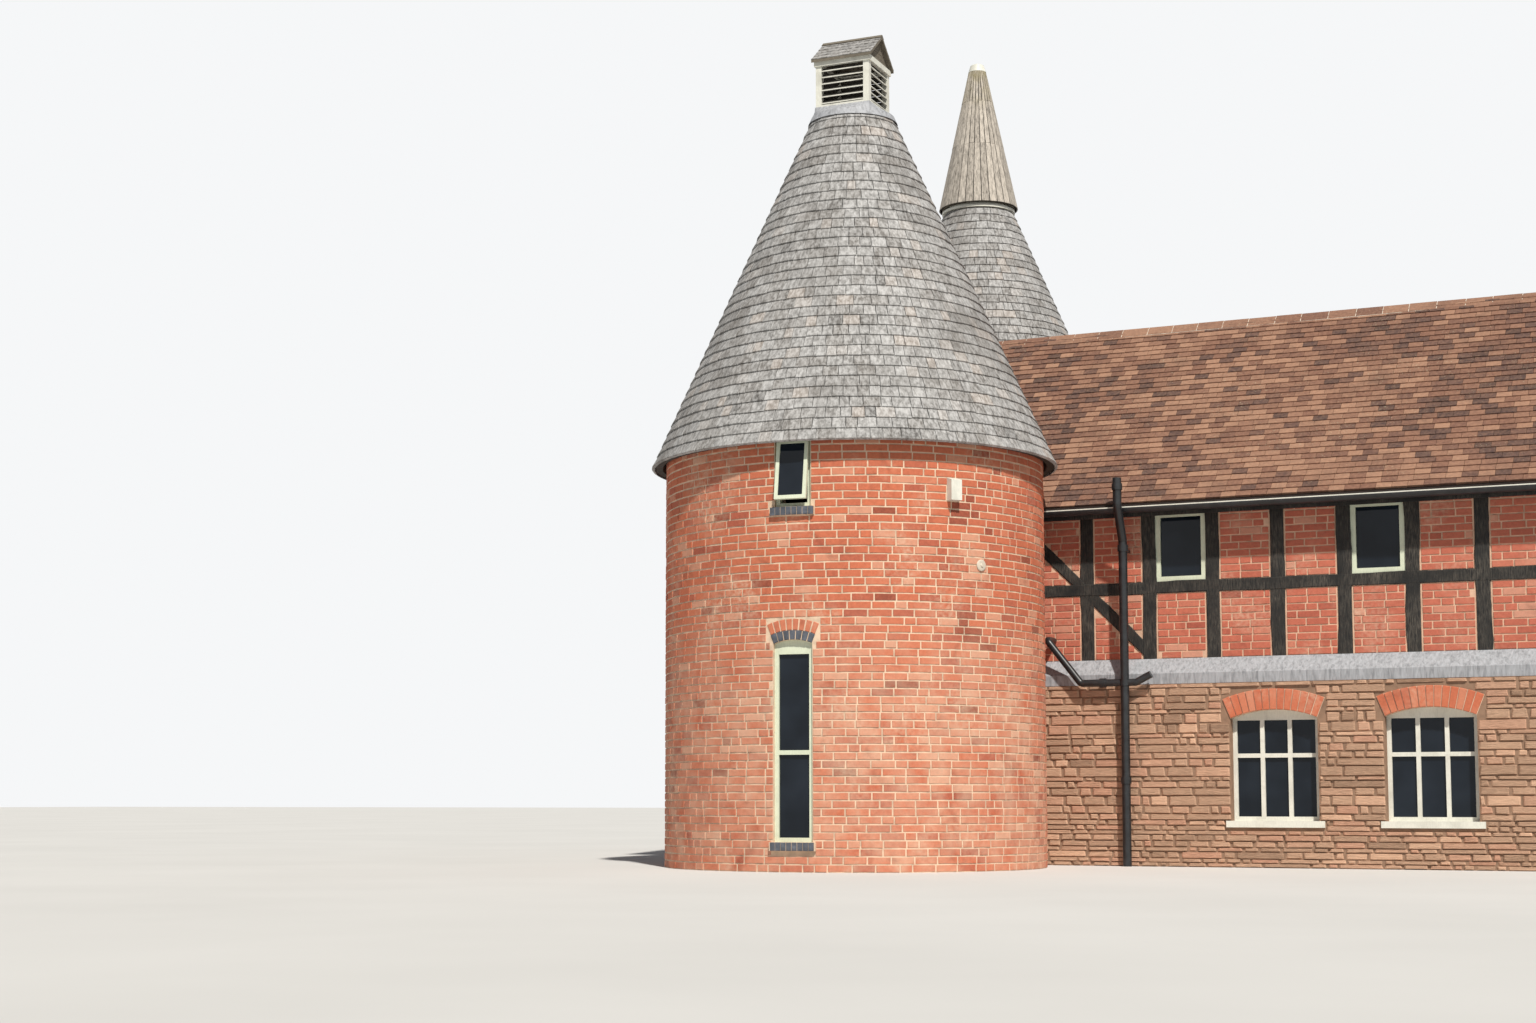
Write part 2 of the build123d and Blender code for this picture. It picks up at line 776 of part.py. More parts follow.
cowl_head_foot = cowl_foot + cowl_height - cowl_head_height
spindle_tip = cowl_head_foot + spindle_socket

with BuildPart() as cowl_spindle:
    with BuildSketch(rear_level(throat_level - beam_drop)):
        Circle(spindle_radius)
    extrude(amount=spindle_tip - throat_level + beam_drop)
save(cowl_spindle, "cowl_spindle")


def cowl_radius(height):
    """Outer radius of the cowl's boards at a height above its lower edge."""
    return cowl_base_radius - height * cowl_slope


with BuildPart() as cowl_shell:
    with BuildSketch(radial_plane(rear_kiln.centre, 0)):
        draw_outline([
            (cowl_base_radius - cowl_board, cowl_foot),
            (cowl_base_radius, cowl_foot),
            (cowl_top_radius, cowl_foot + cowl_height),
            (cowl_top_radius - cowl_board, cowl_foot + cowl_height),
        ])
    revolve(axis=kiln_axis(rear_kiln))
    with BuildSketch(facing_plane(rear_kiln.centre, cowl_mouth_bearing, cowl_mouth_back)):
        with BuildLine():
            mouth_half = cowl_mouth_width / 2
            mouth_low = cowl_foot + cowl_mouth_bottom
            mouth_spring = mouth_low + cowl_mouth_height - mouth_half
            Polyline(
                (-mouth_half, mouth_spring), (-mouth_half, mouth_low),
                (mouth_half, mouth_low), (mouth_half, mouth_spring),
            )
            ThreePointArc(
                (mouth_half, mouth_spring), (0, mouth_spring + mouth_half), (-mouth_half, mouth_spring)
            )
        make_face()
    extrude(amount=cowl_base_radius, mode=Mode.SUBTRACT)
save(cowl_shell, "cowl_shell")

with BuildPart() as cowl_frame:
    with BuildSketch(rear_level(cowl_foot)):
        outer = cowl_radius(cowl_ring_height) - cowl_board - seat
        Circle(outer)
        Circle(outer - cowl_ring_width, mode=Mode.SUBTRACT)
    extrude(amount=cowl_ring_height)
    spoke_foot = throat_level + curb_upstand + running_gap
    with BuildSketch(rear_level(spoke_foot)):
        outer = cowl_radius(spoke_foot + cowl_spoke_height - cowl_foot) - cowl_board - seat
        Rectangle(2 * outer, cowl_spoke_width)
        Rectangle(cowl_spoke_width, 2 * outer)
        Circle(outer, mode=Mode.INTERSECT)
        Circle(cowl_hub_radius)
        Circle(spindle_radius + spindle_gap, mode=Mode.SUBTRACT)
    extrude(amount=cowl_spoke_height)
    with BuildSketch(radial_plane(rear_kiln.centre, 0)):
        foot_radius = cowl_radius(cowl_height - cowl_head_height) - cowl_board - seat
        draw_outline([
            (0, cowl_head_foot), (foot_radius, cowl_head_foot),
            (cowl_top_radius - cowl_board - seat, cowl_foot + cowl_height), (0, cowl_foot + cowl_height),
        ])
    revolve(axis=kiln_axis(rear_kiln))
    with BuildSketch(rear_level(cowl_head_foot)):
        Circle(spindle_radius + spindle_gap)
    extrude(amount=spindle_socket + spindle_gap, mode=Mode.SUBTRACT)
save(cowl_frame, "cowl_frame")

with BuildPart() as cowl_cap:
    cap_foot = cowl_foot + cowl_height
    cap_rim = cowl_top_radius + cowl_cap_lip
    dome_rise = cowl_cap_height - cowl_cap_edge
    dome_radius = (cowl_cap_crown**2 + dome_rise**2) / (2 * dome_rise)
    dome_middle = cap_foot + cowl_cap_height - dome_radius
    with BuildSketch(radial_plane(rear_kiln.centre, 0)):
        with BuildLine():
            Polyline(
                (0, cap_foot + cowl_cap_height), (0, cap_foot), (cap_rim, cap_foot),
                (cowl_cap_crown, cap_foot + cowl_cap_edge),
            )
            ThreePointArc(
                (cowl_cap_crown, cap_foot + cowl_cap_edge),
                (cowl_cap_crown / 2, dome_middle + sqrt(dome_radius**2 - cowl_cap_crown**2 / 4)),
                (0, cap_foot + cowl_cap_height),
            )
        make_face()
    revolve(axis=kiln_axis(rear_kiln))
save(cowl_cap, "cowl_cap")

# Stone lower storey
stone_left = wing_left - stone_proud
stone_right = wing_right + stone_proud
stone_windows = [
    front_kiln_x + stone_window_first + number * stone_window_pitch for number in range(stone_window_count)
]


def draw_stone_window(middle, draw, **options):
    draw(middle, stone_window_width, stone_window_sill, stone_window_spring, stone_window_rise, **options)


def stone_wall_arches(wall):
    with BuildPart() as arches:
        with BuildSketch(wall.plane(0)):
            for middle in wall.middles:
                draw_arch_ring(
                    middle, stone_window_width, stone_window_spring, stone_window_rise, brick_arch_height
                )
        extrude(amount=-brick_arch_depth)
    return arches.part


def stone_wall_sills(wall):
    with BuildPart() as sills:
        with BuildSketch(wall.plane(-stone_sill_proud)):
            for middle in wall.middles:
                half = stone_window_width / 2 + stone_sill_overhang
                draw_bar(middle - half, middle + half, stone_window_sill - stone_sill_height, stone_window_sill)
        extrude(amount=-stone_sill_proud - stone_sill_bed)
    return sills.part


def front_stone_plane(inwards):
    return long_wall_plane(-1, stone_outer - inwards)


def rear_stone_plane(inwards):
    return long_wall_plane(1, stone_outer - inwards)


def left_stone_plane(inwards):
    return gable_plane(-1, stone_left + inwards)


def right_stone_plane(inwards):
    return gable_plane(1, stone_right - inwards)


# Each wall: its name, its plane, its window middles as seen from outside, and its ends
StoneWall = namedtuple("StoneWall", "name plane middles low high")
stone_walls = [
    StoneWall("front_stone_wall", front_stone_plane, stone_windows, stone_left, stone_right),
    StoneWall(
        "rear_stone_wall", rear_stone_plane, [-middle for middle in stone_windows], -stone_right, -stone_left
    ),
    StoneWall("left_stone_wall", left_stone_plane, [0], -stone_inner, stone_inner),
    StoneWall("right_stone_wall", right_stone_plane, [0], -stone_inner, stone_inner),
]

for wall in stone_walls:
    with BuildPart() as stone_wall:
        with BuildSketch(wall.plane(0)):
            draw_bar(wall.low, wall.high, 0, stone_top)
            for middle in wall.middles:
                draw_stone_window(middle, draw_arched, mode=Mode.SUBTRACT)
        extrude(amount=-stone_thickness)
        add(stone_wall_arches(wall), mode=Mode.SUBTRACT)
        add(stone_wall_sills(wall), mode=Mode.SUBTRACT)
        trim_to_kilns(wall_envelopes)
    save(stone_wall, wall.name)

with BuildPart() as stone_window_arches:
    for wall in stone_walls:
        add(stone_wall_arches(wall))
save(stone_window_arches, "stone_window_arches")

with BuildPart() as stone_window_sills:
    for wall in stone_walls:
        add(stone_wall_sills(wall))
save(stone_window_sills, "stone_window_sills")

stone_window_bars = dict(
    bar=kiln_frame_bar, lights=stone_window_lights,
    transom=stone_window_transom, panel=stone_window_panel,
)

with BuildPart() as stone_window_frames:
    for wall in stone_walls:
        with BuildSketch(wall.plane(stone_window_setback)):
            for middle in wall.middles:
                draw_stone_window(middle, draw_glazed_frame, **stone_window_bars)
        extrude(amount=-kiln_frame_depth)
save(stone_window_frames, "stone_window_frames")

with BuildPart() as stone_window_glass:
    for wall in stone_walls:
        with BuildSketch(wall.plane(stone_window_setback + (kiln_frame_depth - glass_thickness) / 2)):
            for middle in wall.middles:
                draw_stone_window(middle, draw_panes, **stone_window_bars)
        extrude(amount=-glass_thickness)
save(stone_window_glass, "stone_window_glass")

# Floors of the wing
with BuildPart() as ground_floor:
    with BuildSketch():
        draw_bar(
            stone_left + stone_thickness + seat, stone_right - stone_thickness - seat,
            seat - stone_inner, stone_inner - seat,
        )
    extrude(amount=ground_floor_thickness)
    trim_to_kilns(wall_envelopes)
save(ground_floor, "ground_floor")

with BuildPart() as first_floor:
    with BuildSketch(Plane.XY.offset(first_floor_top - first_floor_thickness)):
        draw_bar(
            stone_left + stone_thickness + seat, stone_right - stone_thickness - seat,
            seat - stone_inner, stone_inner - seat,
        )
    extrude(amount=first_floor_thickness)
    trim_to_kilns(wall_envelopes)
save(first_floor, "first_floor")


# Lead-covered ledge over the stone, all round the wing
def draw_ledge_section(face, outward):
    """The ledge in section: face is the timber face, outward is -1 or 1 along the section's x."""
    edge = face + outward * stone_proud
    lip = edge + outward * lead_thickness
    draw_outline([
        (face + outward * seat, stone_top),
        (face + outward * seat, ledge_top),
        (face + outward * (seat + lead_thickness), ledge_top),
        (lip, stone_top + lead_thickness),
        (lip, stone_top - ledge_drip),
        (edge + outward * seat, stone_top - ledge_drip),
        (edge + outward * seat, stone_top),
    ])


with BuildPart() as lead_ledges:
    for outward in (-1, 1):
        with BuildSketch(Plane.YZ.offset(stone_left - lead_thickness)):
            draw_ledge_section(outward * half_depth, outward)
        extrude(amount=stone_right - stone_left + 2 * lead_thickness)
    for face, outward in ((wing_left, -1), (wing_right, 1)):
        with BuildSketch(Plane.XZ.offset(-stone_outer - lead_thickness)):
            draw_ledge_section(face, outward)
        extrude(amount=2 * (stone_outer + lead_thickness))
    with BuildSketch(Plane.XY.offset(stone_top)):
        draw_bar(wing_left - seat, wing_right + seat, -half_depth - seat, half_depth + seat)
    extrude(amount=ledge_top, mode=Mode.SUBTRACT)
    trim_to_kilns(wall_envelopes)
save(lead_ledges, "lead_ledges")

# Timber frame of the upper storey and its brick panels
left_kiln_edge = front_kiln_x - sqrt(kiln_wall_radius**2 - kiln_stand_off**2)
rear_kiln_edge = rear_kiln_x + sqrt(kiln_wall_radius**2 - kiln_stand_off**2)
main_studs = [first_stud_x + number * stud_pitch for number in range(panel_count + 1)]
corner_stud = wing_left + stud_width / 2
front_studs = [corner_stud, (corner_stud + left_kiln_edge) / 2, left_kiln_edge - stud_width / 2] + main_studs
rear_studs = [corner_stud, corner_stud + stud_width, rear_kiln_edge + stud_width / 2, main_studs[0] - stud_pitch]
rear_studs = rear_studs + main_studs
casements = [
    (main_studs[number] + main_studs[number + 1]) / 2
    for number in range(casement_first, panel_count, casement_every)
]


def long_wall_ends(side):
    """Both ends of a long wall as seen from outside, on its own plane."""
    return (wing_left, wing_right) if side < 0 else (-wing_right, -wing_left)


def draw_long_members(side, studs, mode=Mode.ADD):
    """Sill, rail, plate, studs and brace of a long wall, drawn as seen from outside."""
    left, right = long_wall_ends(side)
    for low, high in ((stone_top, ledge_top), (rail_bottom, rail_top), (plate_bottom, plate_bottom + tie_height / 2)):
        draw_bar(left, right, low, high, mode)
    for stud in studs:
        middle = -side * stud
        draw_bar(middle - stud_width / 2, middle + stud_width / 2, stone_top, plate_bottom, mode)
    head_x = -side * main_studs[0]
    foot_x = -side * main_studs[2]
    length = hypot(foot_x - head_x, brace_head - brace_foot)
    lean = degrees(asin((brace_head - brace_foot) / length)) * side
    with Locations(((head_x + foot_x) / 2, (brace_head + brace_foot) / 2)):
        Rectangle(length, brace_width, rotation=lean, mode=mode)


def draw_casement_cell(middle, mode=Mode.ADD, inset=0.0):
    half = casement_width / 2 - inset
    draw_bar(middle - half, middle + half, rail_top + inset, plate_bottom - inset, mode)


def draw_plate_section(side):
    draw_outline([
        (side * half_depth, plate_bottom), (side * half_depth, roof_underside(half_depth)),
        (side * timber_inner, roof_underside(timber_inner)), (side * timber_inner, plate_bottom),
    ])


long_walls = ((-1, "front", front_studs), (1, "rear", rear_studs))

for side, name, studs in long_walls:
    with BuildPart() as timber_frame:
        with BuildSketch(long_wall_plane(side, half_depth)):
            draw_long_members(side, studs)
            for middle in casements:
                draw_casement_cell(-side * middle, Mode.SUBTRACT)
        extrude(amount=-timber_depth)
        with BuildSketch(Plane.YZ.offset(wing_left)):
            draw_plate_section(side)
        extrude(amount=wing_right - wing_left)
        trim_to_kilns(wall_envelopes)
    save(timber_frame, f"{name}_timber_frame")

rafter_drop = rafter_depth / cos(radians(roof_pitch))


def gable_outline():
    """The gable's face between the long walls, up to the roof's underside."""
    return [
        (-timber_inner, stone_top), (timber_inner, stone_top),
        (timber_inner, roof_underside(timber_inner)), (0, roof_underside(0)),
        (-timber_inner, roof_underside(timber_inner)),
    ]


def draw_gable_members(mode=Mode.ADD):
    for low, high in (
        (stone_top, ledge_top), (rail_bottom, rail_top),
        (plate_bottom, plate_bottom + tie_height), (collar_bottom, collar_bottom + collar_height),
    ):
        draw_bar(-timber_inner, timber_inner, low, high, mode)
    for middle in gable_studs:
        for stud in (-middle, middle):
            draw_bar(stud - stud_width / 2, stud + stud_width / 2, stone_top, ridge_height, mode)
    for edge in (-1, 1):
        post = edge * (timber_inner - stud_width / 2)
        draw_bar(post - stud_width / 2, post + stud_width / 2, stone_top, plate_bottom, mode)
    draw_outline(
        [
            (-timber_inner, roof_underside(timber_inner)), (0, roof_underside(0)),
            (timber_inner, roof_underside(timber_inner)),
            (timber_inner, roof_underside(timber_inner) - rafter_drop), (0, roof_underside(0) - rafter_drop),
            (-timber_inner, roof_underside(timber_inner) - rafter_drop),
        ],
        mode,
    )


gables = ((-1, "left", wing_left), (1, "right", wing_right))

for side, name, face in gables:
    with BuildPart() as gable_frame:
        with BuildSketch(gable_plane(side, face)):
            draw_gable_members()
            draw_outline(gable_outline(), mode=Mode.INTERSECT)
            draw_casement_cell(0, Mode.SUBTRACT)
        extrude(amount=-timber_depth)
        trim_to_kilns(wall_envelopes)
    save(gable_frame, f"{name}_gable_frame")

with BuildPart() as brick_panels:
    for side, name, studs in long_walls:
        with BuildSketch(long_wall_plane(side, half_depth - brick_recess)):
            draw_bar(*long_wall_ends(side), ledge_top, plate_bottom)
            draw_long_members(side, studs, Mode.SUBTRACT)
            for middle in casements:
                draw_casement_cell(-side * middle, Mode.SUBTRACT)
        extrude(amount=-brick_thickness)
    for side, name, face in gables:
        with BuildSketch(gable_plane(side, face - side * brick_recess)):
            draw_outline(gable_outline())
            draw_gable_members(Mode.SUBTRACT)
            draw_casement_cell(0, Mode.SUBTRACT)
        extrude(amount=-brick_thickness)
    trim_to_kilns(wall_envelopes)
save(brick_panels, "brick_panels")


def casement_places(inwards):
    """The plane of each wall's casements, set in by an amount, and their middles on it."""
    places = [(long_wall_plane(side, half_depth - inwards), [-side * middle for middle in casements])
              for side, name, studs in long_walls]
    return places + [(gable_plane(side, face - side * inwards), [0]) for side, name, face in gables]


with BuildPart() as casement_frames:
    for plane, middles in casement_places(casement_setback):
        with BuildSketch(plane):
            for middle in middles:
                draw_casement_cell(middle, inset=seat)
                draw_casement_cell(middle, Mode.SUBTRACT, inset=casement_bar)
        extrude(amount=-casement_depth)
save(casement_frames, "casement_frames")

with BuildPart() as casement_glass:
    for plane, middles in casement_places(casement_setback + (casement_depth - glass_thickness) / 2):
        with BuildSketch(plane):
            for middle in middles:
                draw_casement_cell(middle, inset=casement_bar + seat)
        extrude(amount=-glass_thickness)
save(casement_glass, "casement_glass")

# Wing roof: two slopes, ridge tiles, fascias and gutters
roof_left = wing_left - verge_overhang
roof_right = wing_right + verge_overhang

for side, name in ((-1, "front"), (1, "rear")):
    with BuildPart() as roof_slab:
        with BuildSketch(Plane.YZ.offset(roof_left)):
            soffit_reach = (ridge_height - roof_drop - soffit_height) / roof_slope
            draw_outline([
                (0, ridge_height), (side * eaves_reach, eaves_height), (side * eaves_reach, soffit_height),
                (side * soffit_reach, soffit_height), (0, ridge_height - roof_drop),
            ])
        extrude(amount=roof_right - roof_left)
        trim_to_kilns(roof_envelopes)
    save(roof_slab, f"{name}_roof_slope")

with BuildPart() as ridge_tiles:
    with BuildSketch(Plane.YZ.offset(roof_left)) as ridge_section:
        reach = ridge_tile_width / 2
        rise = ridge_tile_thickness / cos(radians(roof_pitch))
        draw_outline([
            (0, ridge_height + seat), (reach, roof_top(reach) + seat),
            (reach, roof_top(reach) + rise), (0, ridge_height + rise), (-reach, roof_top(reach) + rise),
            (-reach, roof_top(reach) + seat),
        ])
        fillet(ridge_section.vertices().sort_by(Axis.Y)[-1], radius=ridge_tile_round)
    extrude(amount=roof_right - roof_left)
save(ridge_tiles, "ridge_tiles")

fascia_face = eaves_reach - fascia_setback

with BuildPart() as eaves_fascias:
    for side in (-1, 1):
        with BuildSketch(Plane.YZ.offset(roof_left)):
            inner_face = fascia_face - fascia_thickness
            draw_bar(side * inner_face, side * fascia_face, soffit_height - fascia_height, soffit_height)
        extrude(amount=roof_right - roof_left)
    trim_to_kilns(wall_envelopes)
save(eaves_fascias, "eaves_fascias")

gutter_middle = fascia_face + gutter_radius + seat
gutter_level = soffit_height - gutter_drop

with BuildPart() as gutters:
    for side in (-1, 1):
        with BuildSketch(Plane.YZ.offset(roof_left)):
            with Locations((side * gutter_middle, gutter_level)):
                Circle(gutter_radius)
                Circle(gutter_radius - gutter_wall, mode=Mode.SUBTRACT)
            draw_bar(
                side * (gutter_middle - gutter_radius), side * (gutter_middle + gutter_radius),
                gutter_level, gutter_level + gutter_radius, mode=Mode.SUBTRACT,
            )
        extrude(amount=roof_right - roof_left)
    trim_to_kilns(wall_envelopes)
save(gutters, "gutters")


# Lead flashings up the kiln walls and the mortar fillet under the front kiln's cone
def roof_band(side, height):
    """A band lying on one slope of the wing's roof, as tall as the height."""
    with BuildPart() as band:
        with BuildSketch(Plane.YZ.offset(roof_left)):
            rise = height / cos(radians(roof_pitch))
            draw_outline([
                (0, ridge_height + seat), (side * eaves_reach, eaves_height + seat),
                (side * eaves_reach, eaves_height + rise), (0, ridge_height + rise),
            ])
        extrude(amount=roof_right - roof_left)
    return band.part


with BuildPart() as kiln_flashings:
    for side, kiln in ((-1, front_kiln), (1, rear_kiln)):
        with BuildPart(mode=Mode.PRIVATE) as flashing:
            add(
                kiln_ring(
                    kiln, kiln_wall_radius + seat, kiln_wall_radius + seat + flashing_thickness,
                    0, kiln.eaves_height - seat,
                )
            )
            add(roof_band(side, flashing_height), mode=Mode.INTERSECT)
        add(flashing.part)
save(kiln_flashings, "kiln_flashings")

with BuildPart() as mortar_fillet:
    with BuildSketch(radial_plane(front_kiln.centre, 0)):
        draw_outline([
            (kiln_eaves_radius + seat, front_eaves_height),
            (kiln_eaves_radius + fillet_size, front_eaves_height),
            (front_throat_radius + fillet_size, front_throat_height),
            (front_throat_radius + seat, front_throat_height),
        ])
    revolve(axis=kiln_axis(front_kiln))
    add(roof_band(-1, fillet_size), mode=Mode.INTERSECT)
save(mortar_fillet, "mortar_fillet")

# Soil pipe: a stack up the front wall with collars, brackets and one branch
pipe_x = front_kiln_x + pipe_run
pipe_y = -(stone_outer + pipe_wall_gap + pipe_radius)
head_y = -(gutter_middle + gutter_radius + pipe_gutter_gap + pipe_radius)


def branch_point(run, height, y=pipe_y):
    return (front_kiln_x + run, y, height)


def stack_y(height):
    """The stack's place at a height: out past the gutter above its offset, near the wall below."""
    return head_y if height > offset_top else pipe_y


with BuildPart() as soil_pipe:
    with BuildLine() as stack_line:
        FilletPolyline(
            (pipe_x, pipe_y, pipe_bottom), (pipe_x, pipe_y, offset_top - offset_height),
            (pipe_x, head_y, offset_top), (pipe_x, head_y, pipe_top),
            radius=offset_bend,
        )
    with BuildSketch(Plane(origin=(pipe_x, pipe_y, pipe_bottom))):
        Circle(pipe_radius)
    sweep(path=stack_line.line)
    for height in collar_heights:
        with BuildSketch(Plane(origin=(pipe_x, stack_y(height), height))):
            Circle(collar_radius)
        extrude(amount=collar_length)
    with BuildLine() as branch_line:
        FilletPolyline(
            branch_point(branch_wall_run, branch_wall_height, -half_depth + brick_recess - seat),
            branch_point(branch_wall_run, branch_wall_height),
            branch_point(branch_elbow_run, branch_level),
            branch_point(branch_end_run, branch_level),
            branch_point(branch_tip_run, branch_level + branch_tip_rise),
            radius=(branch_bend, branch_bend, branch_tip_bend),
        )
    with BuildSketch(Plane(origin=branch_line.line @ 0, z_dir=branch_line.line % 0)):
        Circle(branch_radius)
    sweep(path=branch_line.line)
    with BuildSketch(Plane(origin=branch_point(branch_collar_run, branch_level), z_dir=(1, 0, 0))):
        Circle(branch_collar_radius)
    extrude(amount=collar_length)
    for height, face in ((collar_heights[0], stone_outer), (collar_heights[-2], half_depth)):
        with BuildSketch(Plane(origin=(pipe_x, pipe_y, height))):
            draw_bar(-bracket_width / 2, bracket_width / 2, 0, -pipe_y - face - seat)
        extrude(amount=bracket_height)
save(soil_pipe, "soil_pipe")
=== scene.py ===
"""Oast house: the looks of two round kilns and a half-timbered wing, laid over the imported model."""

import math
import random

import bmesh
import bpy
import numpy as np
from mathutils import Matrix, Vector


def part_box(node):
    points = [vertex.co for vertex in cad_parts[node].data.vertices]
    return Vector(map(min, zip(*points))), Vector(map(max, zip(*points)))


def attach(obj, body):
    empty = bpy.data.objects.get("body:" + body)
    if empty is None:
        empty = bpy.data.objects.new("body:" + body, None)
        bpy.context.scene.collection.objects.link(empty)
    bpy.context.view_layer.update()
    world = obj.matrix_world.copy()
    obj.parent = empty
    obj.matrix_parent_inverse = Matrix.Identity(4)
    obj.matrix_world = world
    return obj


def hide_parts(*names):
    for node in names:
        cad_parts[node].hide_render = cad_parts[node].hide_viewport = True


bl_info = {
    "name": "Oast House",
    "version": (1, 0, 0),
    "blender": (4, 5, 0),
    "location": "View3D > Sidebar > Oast House",
    "description": "Lays bricks, shingles, tiles, stones and boards over the oast house",
    "category": "Object",
}

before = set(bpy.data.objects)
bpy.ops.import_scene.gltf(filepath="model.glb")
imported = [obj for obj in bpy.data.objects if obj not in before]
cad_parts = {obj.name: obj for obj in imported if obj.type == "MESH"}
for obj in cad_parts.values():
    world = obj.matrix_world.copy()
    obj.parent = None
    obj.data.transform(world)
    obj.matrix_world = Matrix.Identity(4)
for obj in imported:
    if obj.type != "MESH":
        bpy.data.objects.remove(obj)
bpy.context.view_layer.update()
BODY = "building"


def as_seen(red, green, blue):
    """A colour as it looks on a screen, turned into the linear numbers that shaders take."""
    return tuple(
        c / 12.92 if c <= 0.04045 else ((c + 0.055) / 1.055) ** 2.4 for c in (red, green, blue)
    )


def clamp(value, low=0.0, high=1.0):
    return min(high, max(low, value))


def span(*nodes):
    """Lowest and highest corner of several nodes together."""
    lows, highs = zip(*(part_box(node) for node in nodes))
    return Vector(map(min, zip(*lows))), Vector(map(max, zip(*highs)))


def stretch(low, high, direction):
    """Where a box starts and ends along a direction."""
    return sorted((low.dot(direction), high.dot(direction)))


def solid_boxes(node):
    """Lowest and highest corner of each separate solid of a node."""
    work = bmesh.new()
    work.from_mesh(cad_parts[node].data)
    bmesh.ops.remove_doubles(work, verts=work.verts, dist=1e-5)
    boxes, seen = [], set()
    for start in work.verts:
        if start in seen:
            continue
        seen.add(start)
        waiting, island = [start], []
        while waiting:
            vertex = waiting.pop()
            island.append(vertex.co.copy())
            for edge in vertex.link_edges:
                other = edge.other_vert(vertex)
                if other not in seen:
                    seen.add(other)
                    waiting.append(other)
        boxes.append((Vector(map(min, *island)), Vector(map(max, *island))))
    work.free()
    return boxes


# Sizes and colours that a user would change
def length(name, default, note):
    return bpy.props.FloatProperty(name=name, description=note, default=default, unit="LENGTH")


def colour(name, default, note):
    return bpy.props.FloatVectorProperty(
        name=name, description=note, default=default, subtype="COLOR", size=3, min=0.0, max=1.0
    )


class OastSizes(bpy.types.PropertyGroup):
    brick_course: length("Brick course", 0.08, "Height of a course of bricks with its joint")
    brick_pitch: length("Brick pitch", 0.24, "Length of a brick with its joint")
    brick_joint: length("Mortar joint", 0.016, "Width of the mortar joints")
    brick_proud: length("Brick face", 0.007, "How far the bricks stand out from the mortar")
    shingle_gauge: length("Shingle gauge", 0.128, "Length of shingle that shows in each course")
    shingle_width: length("Shingle width", 0.150, "Mean width of the shingles")
    shingle_thickness: length("Shingle thickness", 0.014, "Thickness of a shingle at its tail")
    tile_gauge: length("Tile gauge", 0.100, "Length of clay tile that shows in each course")
    tile_width: length("Tile width", 0.165, "Width of the clay tiles")
    tile_thickness: length("Tile thickness", 0.015, "Thickness of the clay tiles")
    stone_height: length("Stone height", 0.075, "Mean height of the beds of rubble")
    stone_length: length("Stone length", 0.27, "Mean length of the stones")
    board_gap: length("Board gap", 0.012, "Gap between the cowl's boards")


class OastColours(bpy.types.PropertyGroup):
    kiln_brick: colour("Kiln brick", as_seen(0.80, 0.46, 0.34), "Orange-red brick of the kilns")
    kiln_brick_dark: colour("Dark kiln brick", as_seen(0.64, 0.34, 0.28), "The kilns' dark bricks")
    mortar: colour("Mortar", as_seen(0.88, 0.78, 0.68), "Pale lime mortar")
    blue_brick: colour("Blue brick", as_seen(0.36, 0.38, 0.42), "Blue brick of arches and sills")
    shingle: colour("Shingles", as_seen(0.62, 0.62, 0.62), "Weathered silver shingles")
    shingle_brown: colour("Brown shingles", as_seen(0.53, 0.51, 0.49), "Younger or damper shingles")
    tile: colour("Clay tiles", as_seen(0.48, 0.34, 0.28), "Red-brown clay tiles")
    tile_pale: colour("Pale tiles", as_seen(0.66, 0.51, 0.42), "Paler orange clay tiles")
    tile_dark: colour("Dark tiles", as_seen(0.30, 0.23, 0.22), "Purple-brown clay tiles")
    stone: colour("Sandstone", as_seen(0.78, 0.64, 0.54), "Pinkish-brown sandstone")
    black_timber: colour("Black timber", as_seen(0.16, 0.16, 0.16), "Black paint on oak")
    bare_timber: colour("Bare timber", as_seen(0.50, 0.47, 0.43), "Oak where the paint has gone")
    cowl_board: colour("Cowl boards", as_seen(0.76, 0.73, 0.69), "Weathered boards of the cowl")
    lead: colour("Lead", as_seen(0.63, 0.64, 0.66), "Weathered lead sheet")
    window_paint: colour("Window paint", as_seen(0.86, 0.89, 0.80), "Pale cream-green paint")
    white_paint: colour("White paint", as_seen(0.90, 0.90, 0.86), "White paint")


def sizes():
    return bpy.context.scene.oast_sizes


def colours():
    return bpy.context.scene.oast_colours


# Places read from the frame
RIM_SLACK = 0.001


class Cone:
    """A conical node about an upright axis: its heights, radii, pitch and length up the slope."""

    def __init__(self, node, centre):
        low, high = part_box(node)
        self.centre = centre
        self.foot, self.top = low.z, high.z
        self.foot_radius = (high.x - low.x) / 2
        self.top_radius = max(
            math.hypot(v.co.x - centre[0], v.co.y - centre[1])
            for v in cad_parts[node].data.vertices if v.co.z > self.top - RIM_SLACK
        )
        self.pitch = math.atan2(self.top - self.foot, self.foot_radius - self.top_radius)
        self.slant = (self.top - self.foot) / math.sin(self.pitch)

    def radius(self, v):
        """The radius at a distance up the slope."""
        return self.foot_radius - v * math.cos(self.pitch)

    def place(self, u, v, w):
        """u is the bearing in radians, v the distance up the slope and w square to it."""
        radius = self.radius(v) + w * math.sin(self.pitch)
        height = self.foot + v * math.sin(self.pitch) + w * math.cos(self.pitch)
        return self.centre[0] + radius * np.cos(u), self.centre[1] + radius * np.sin(u), height


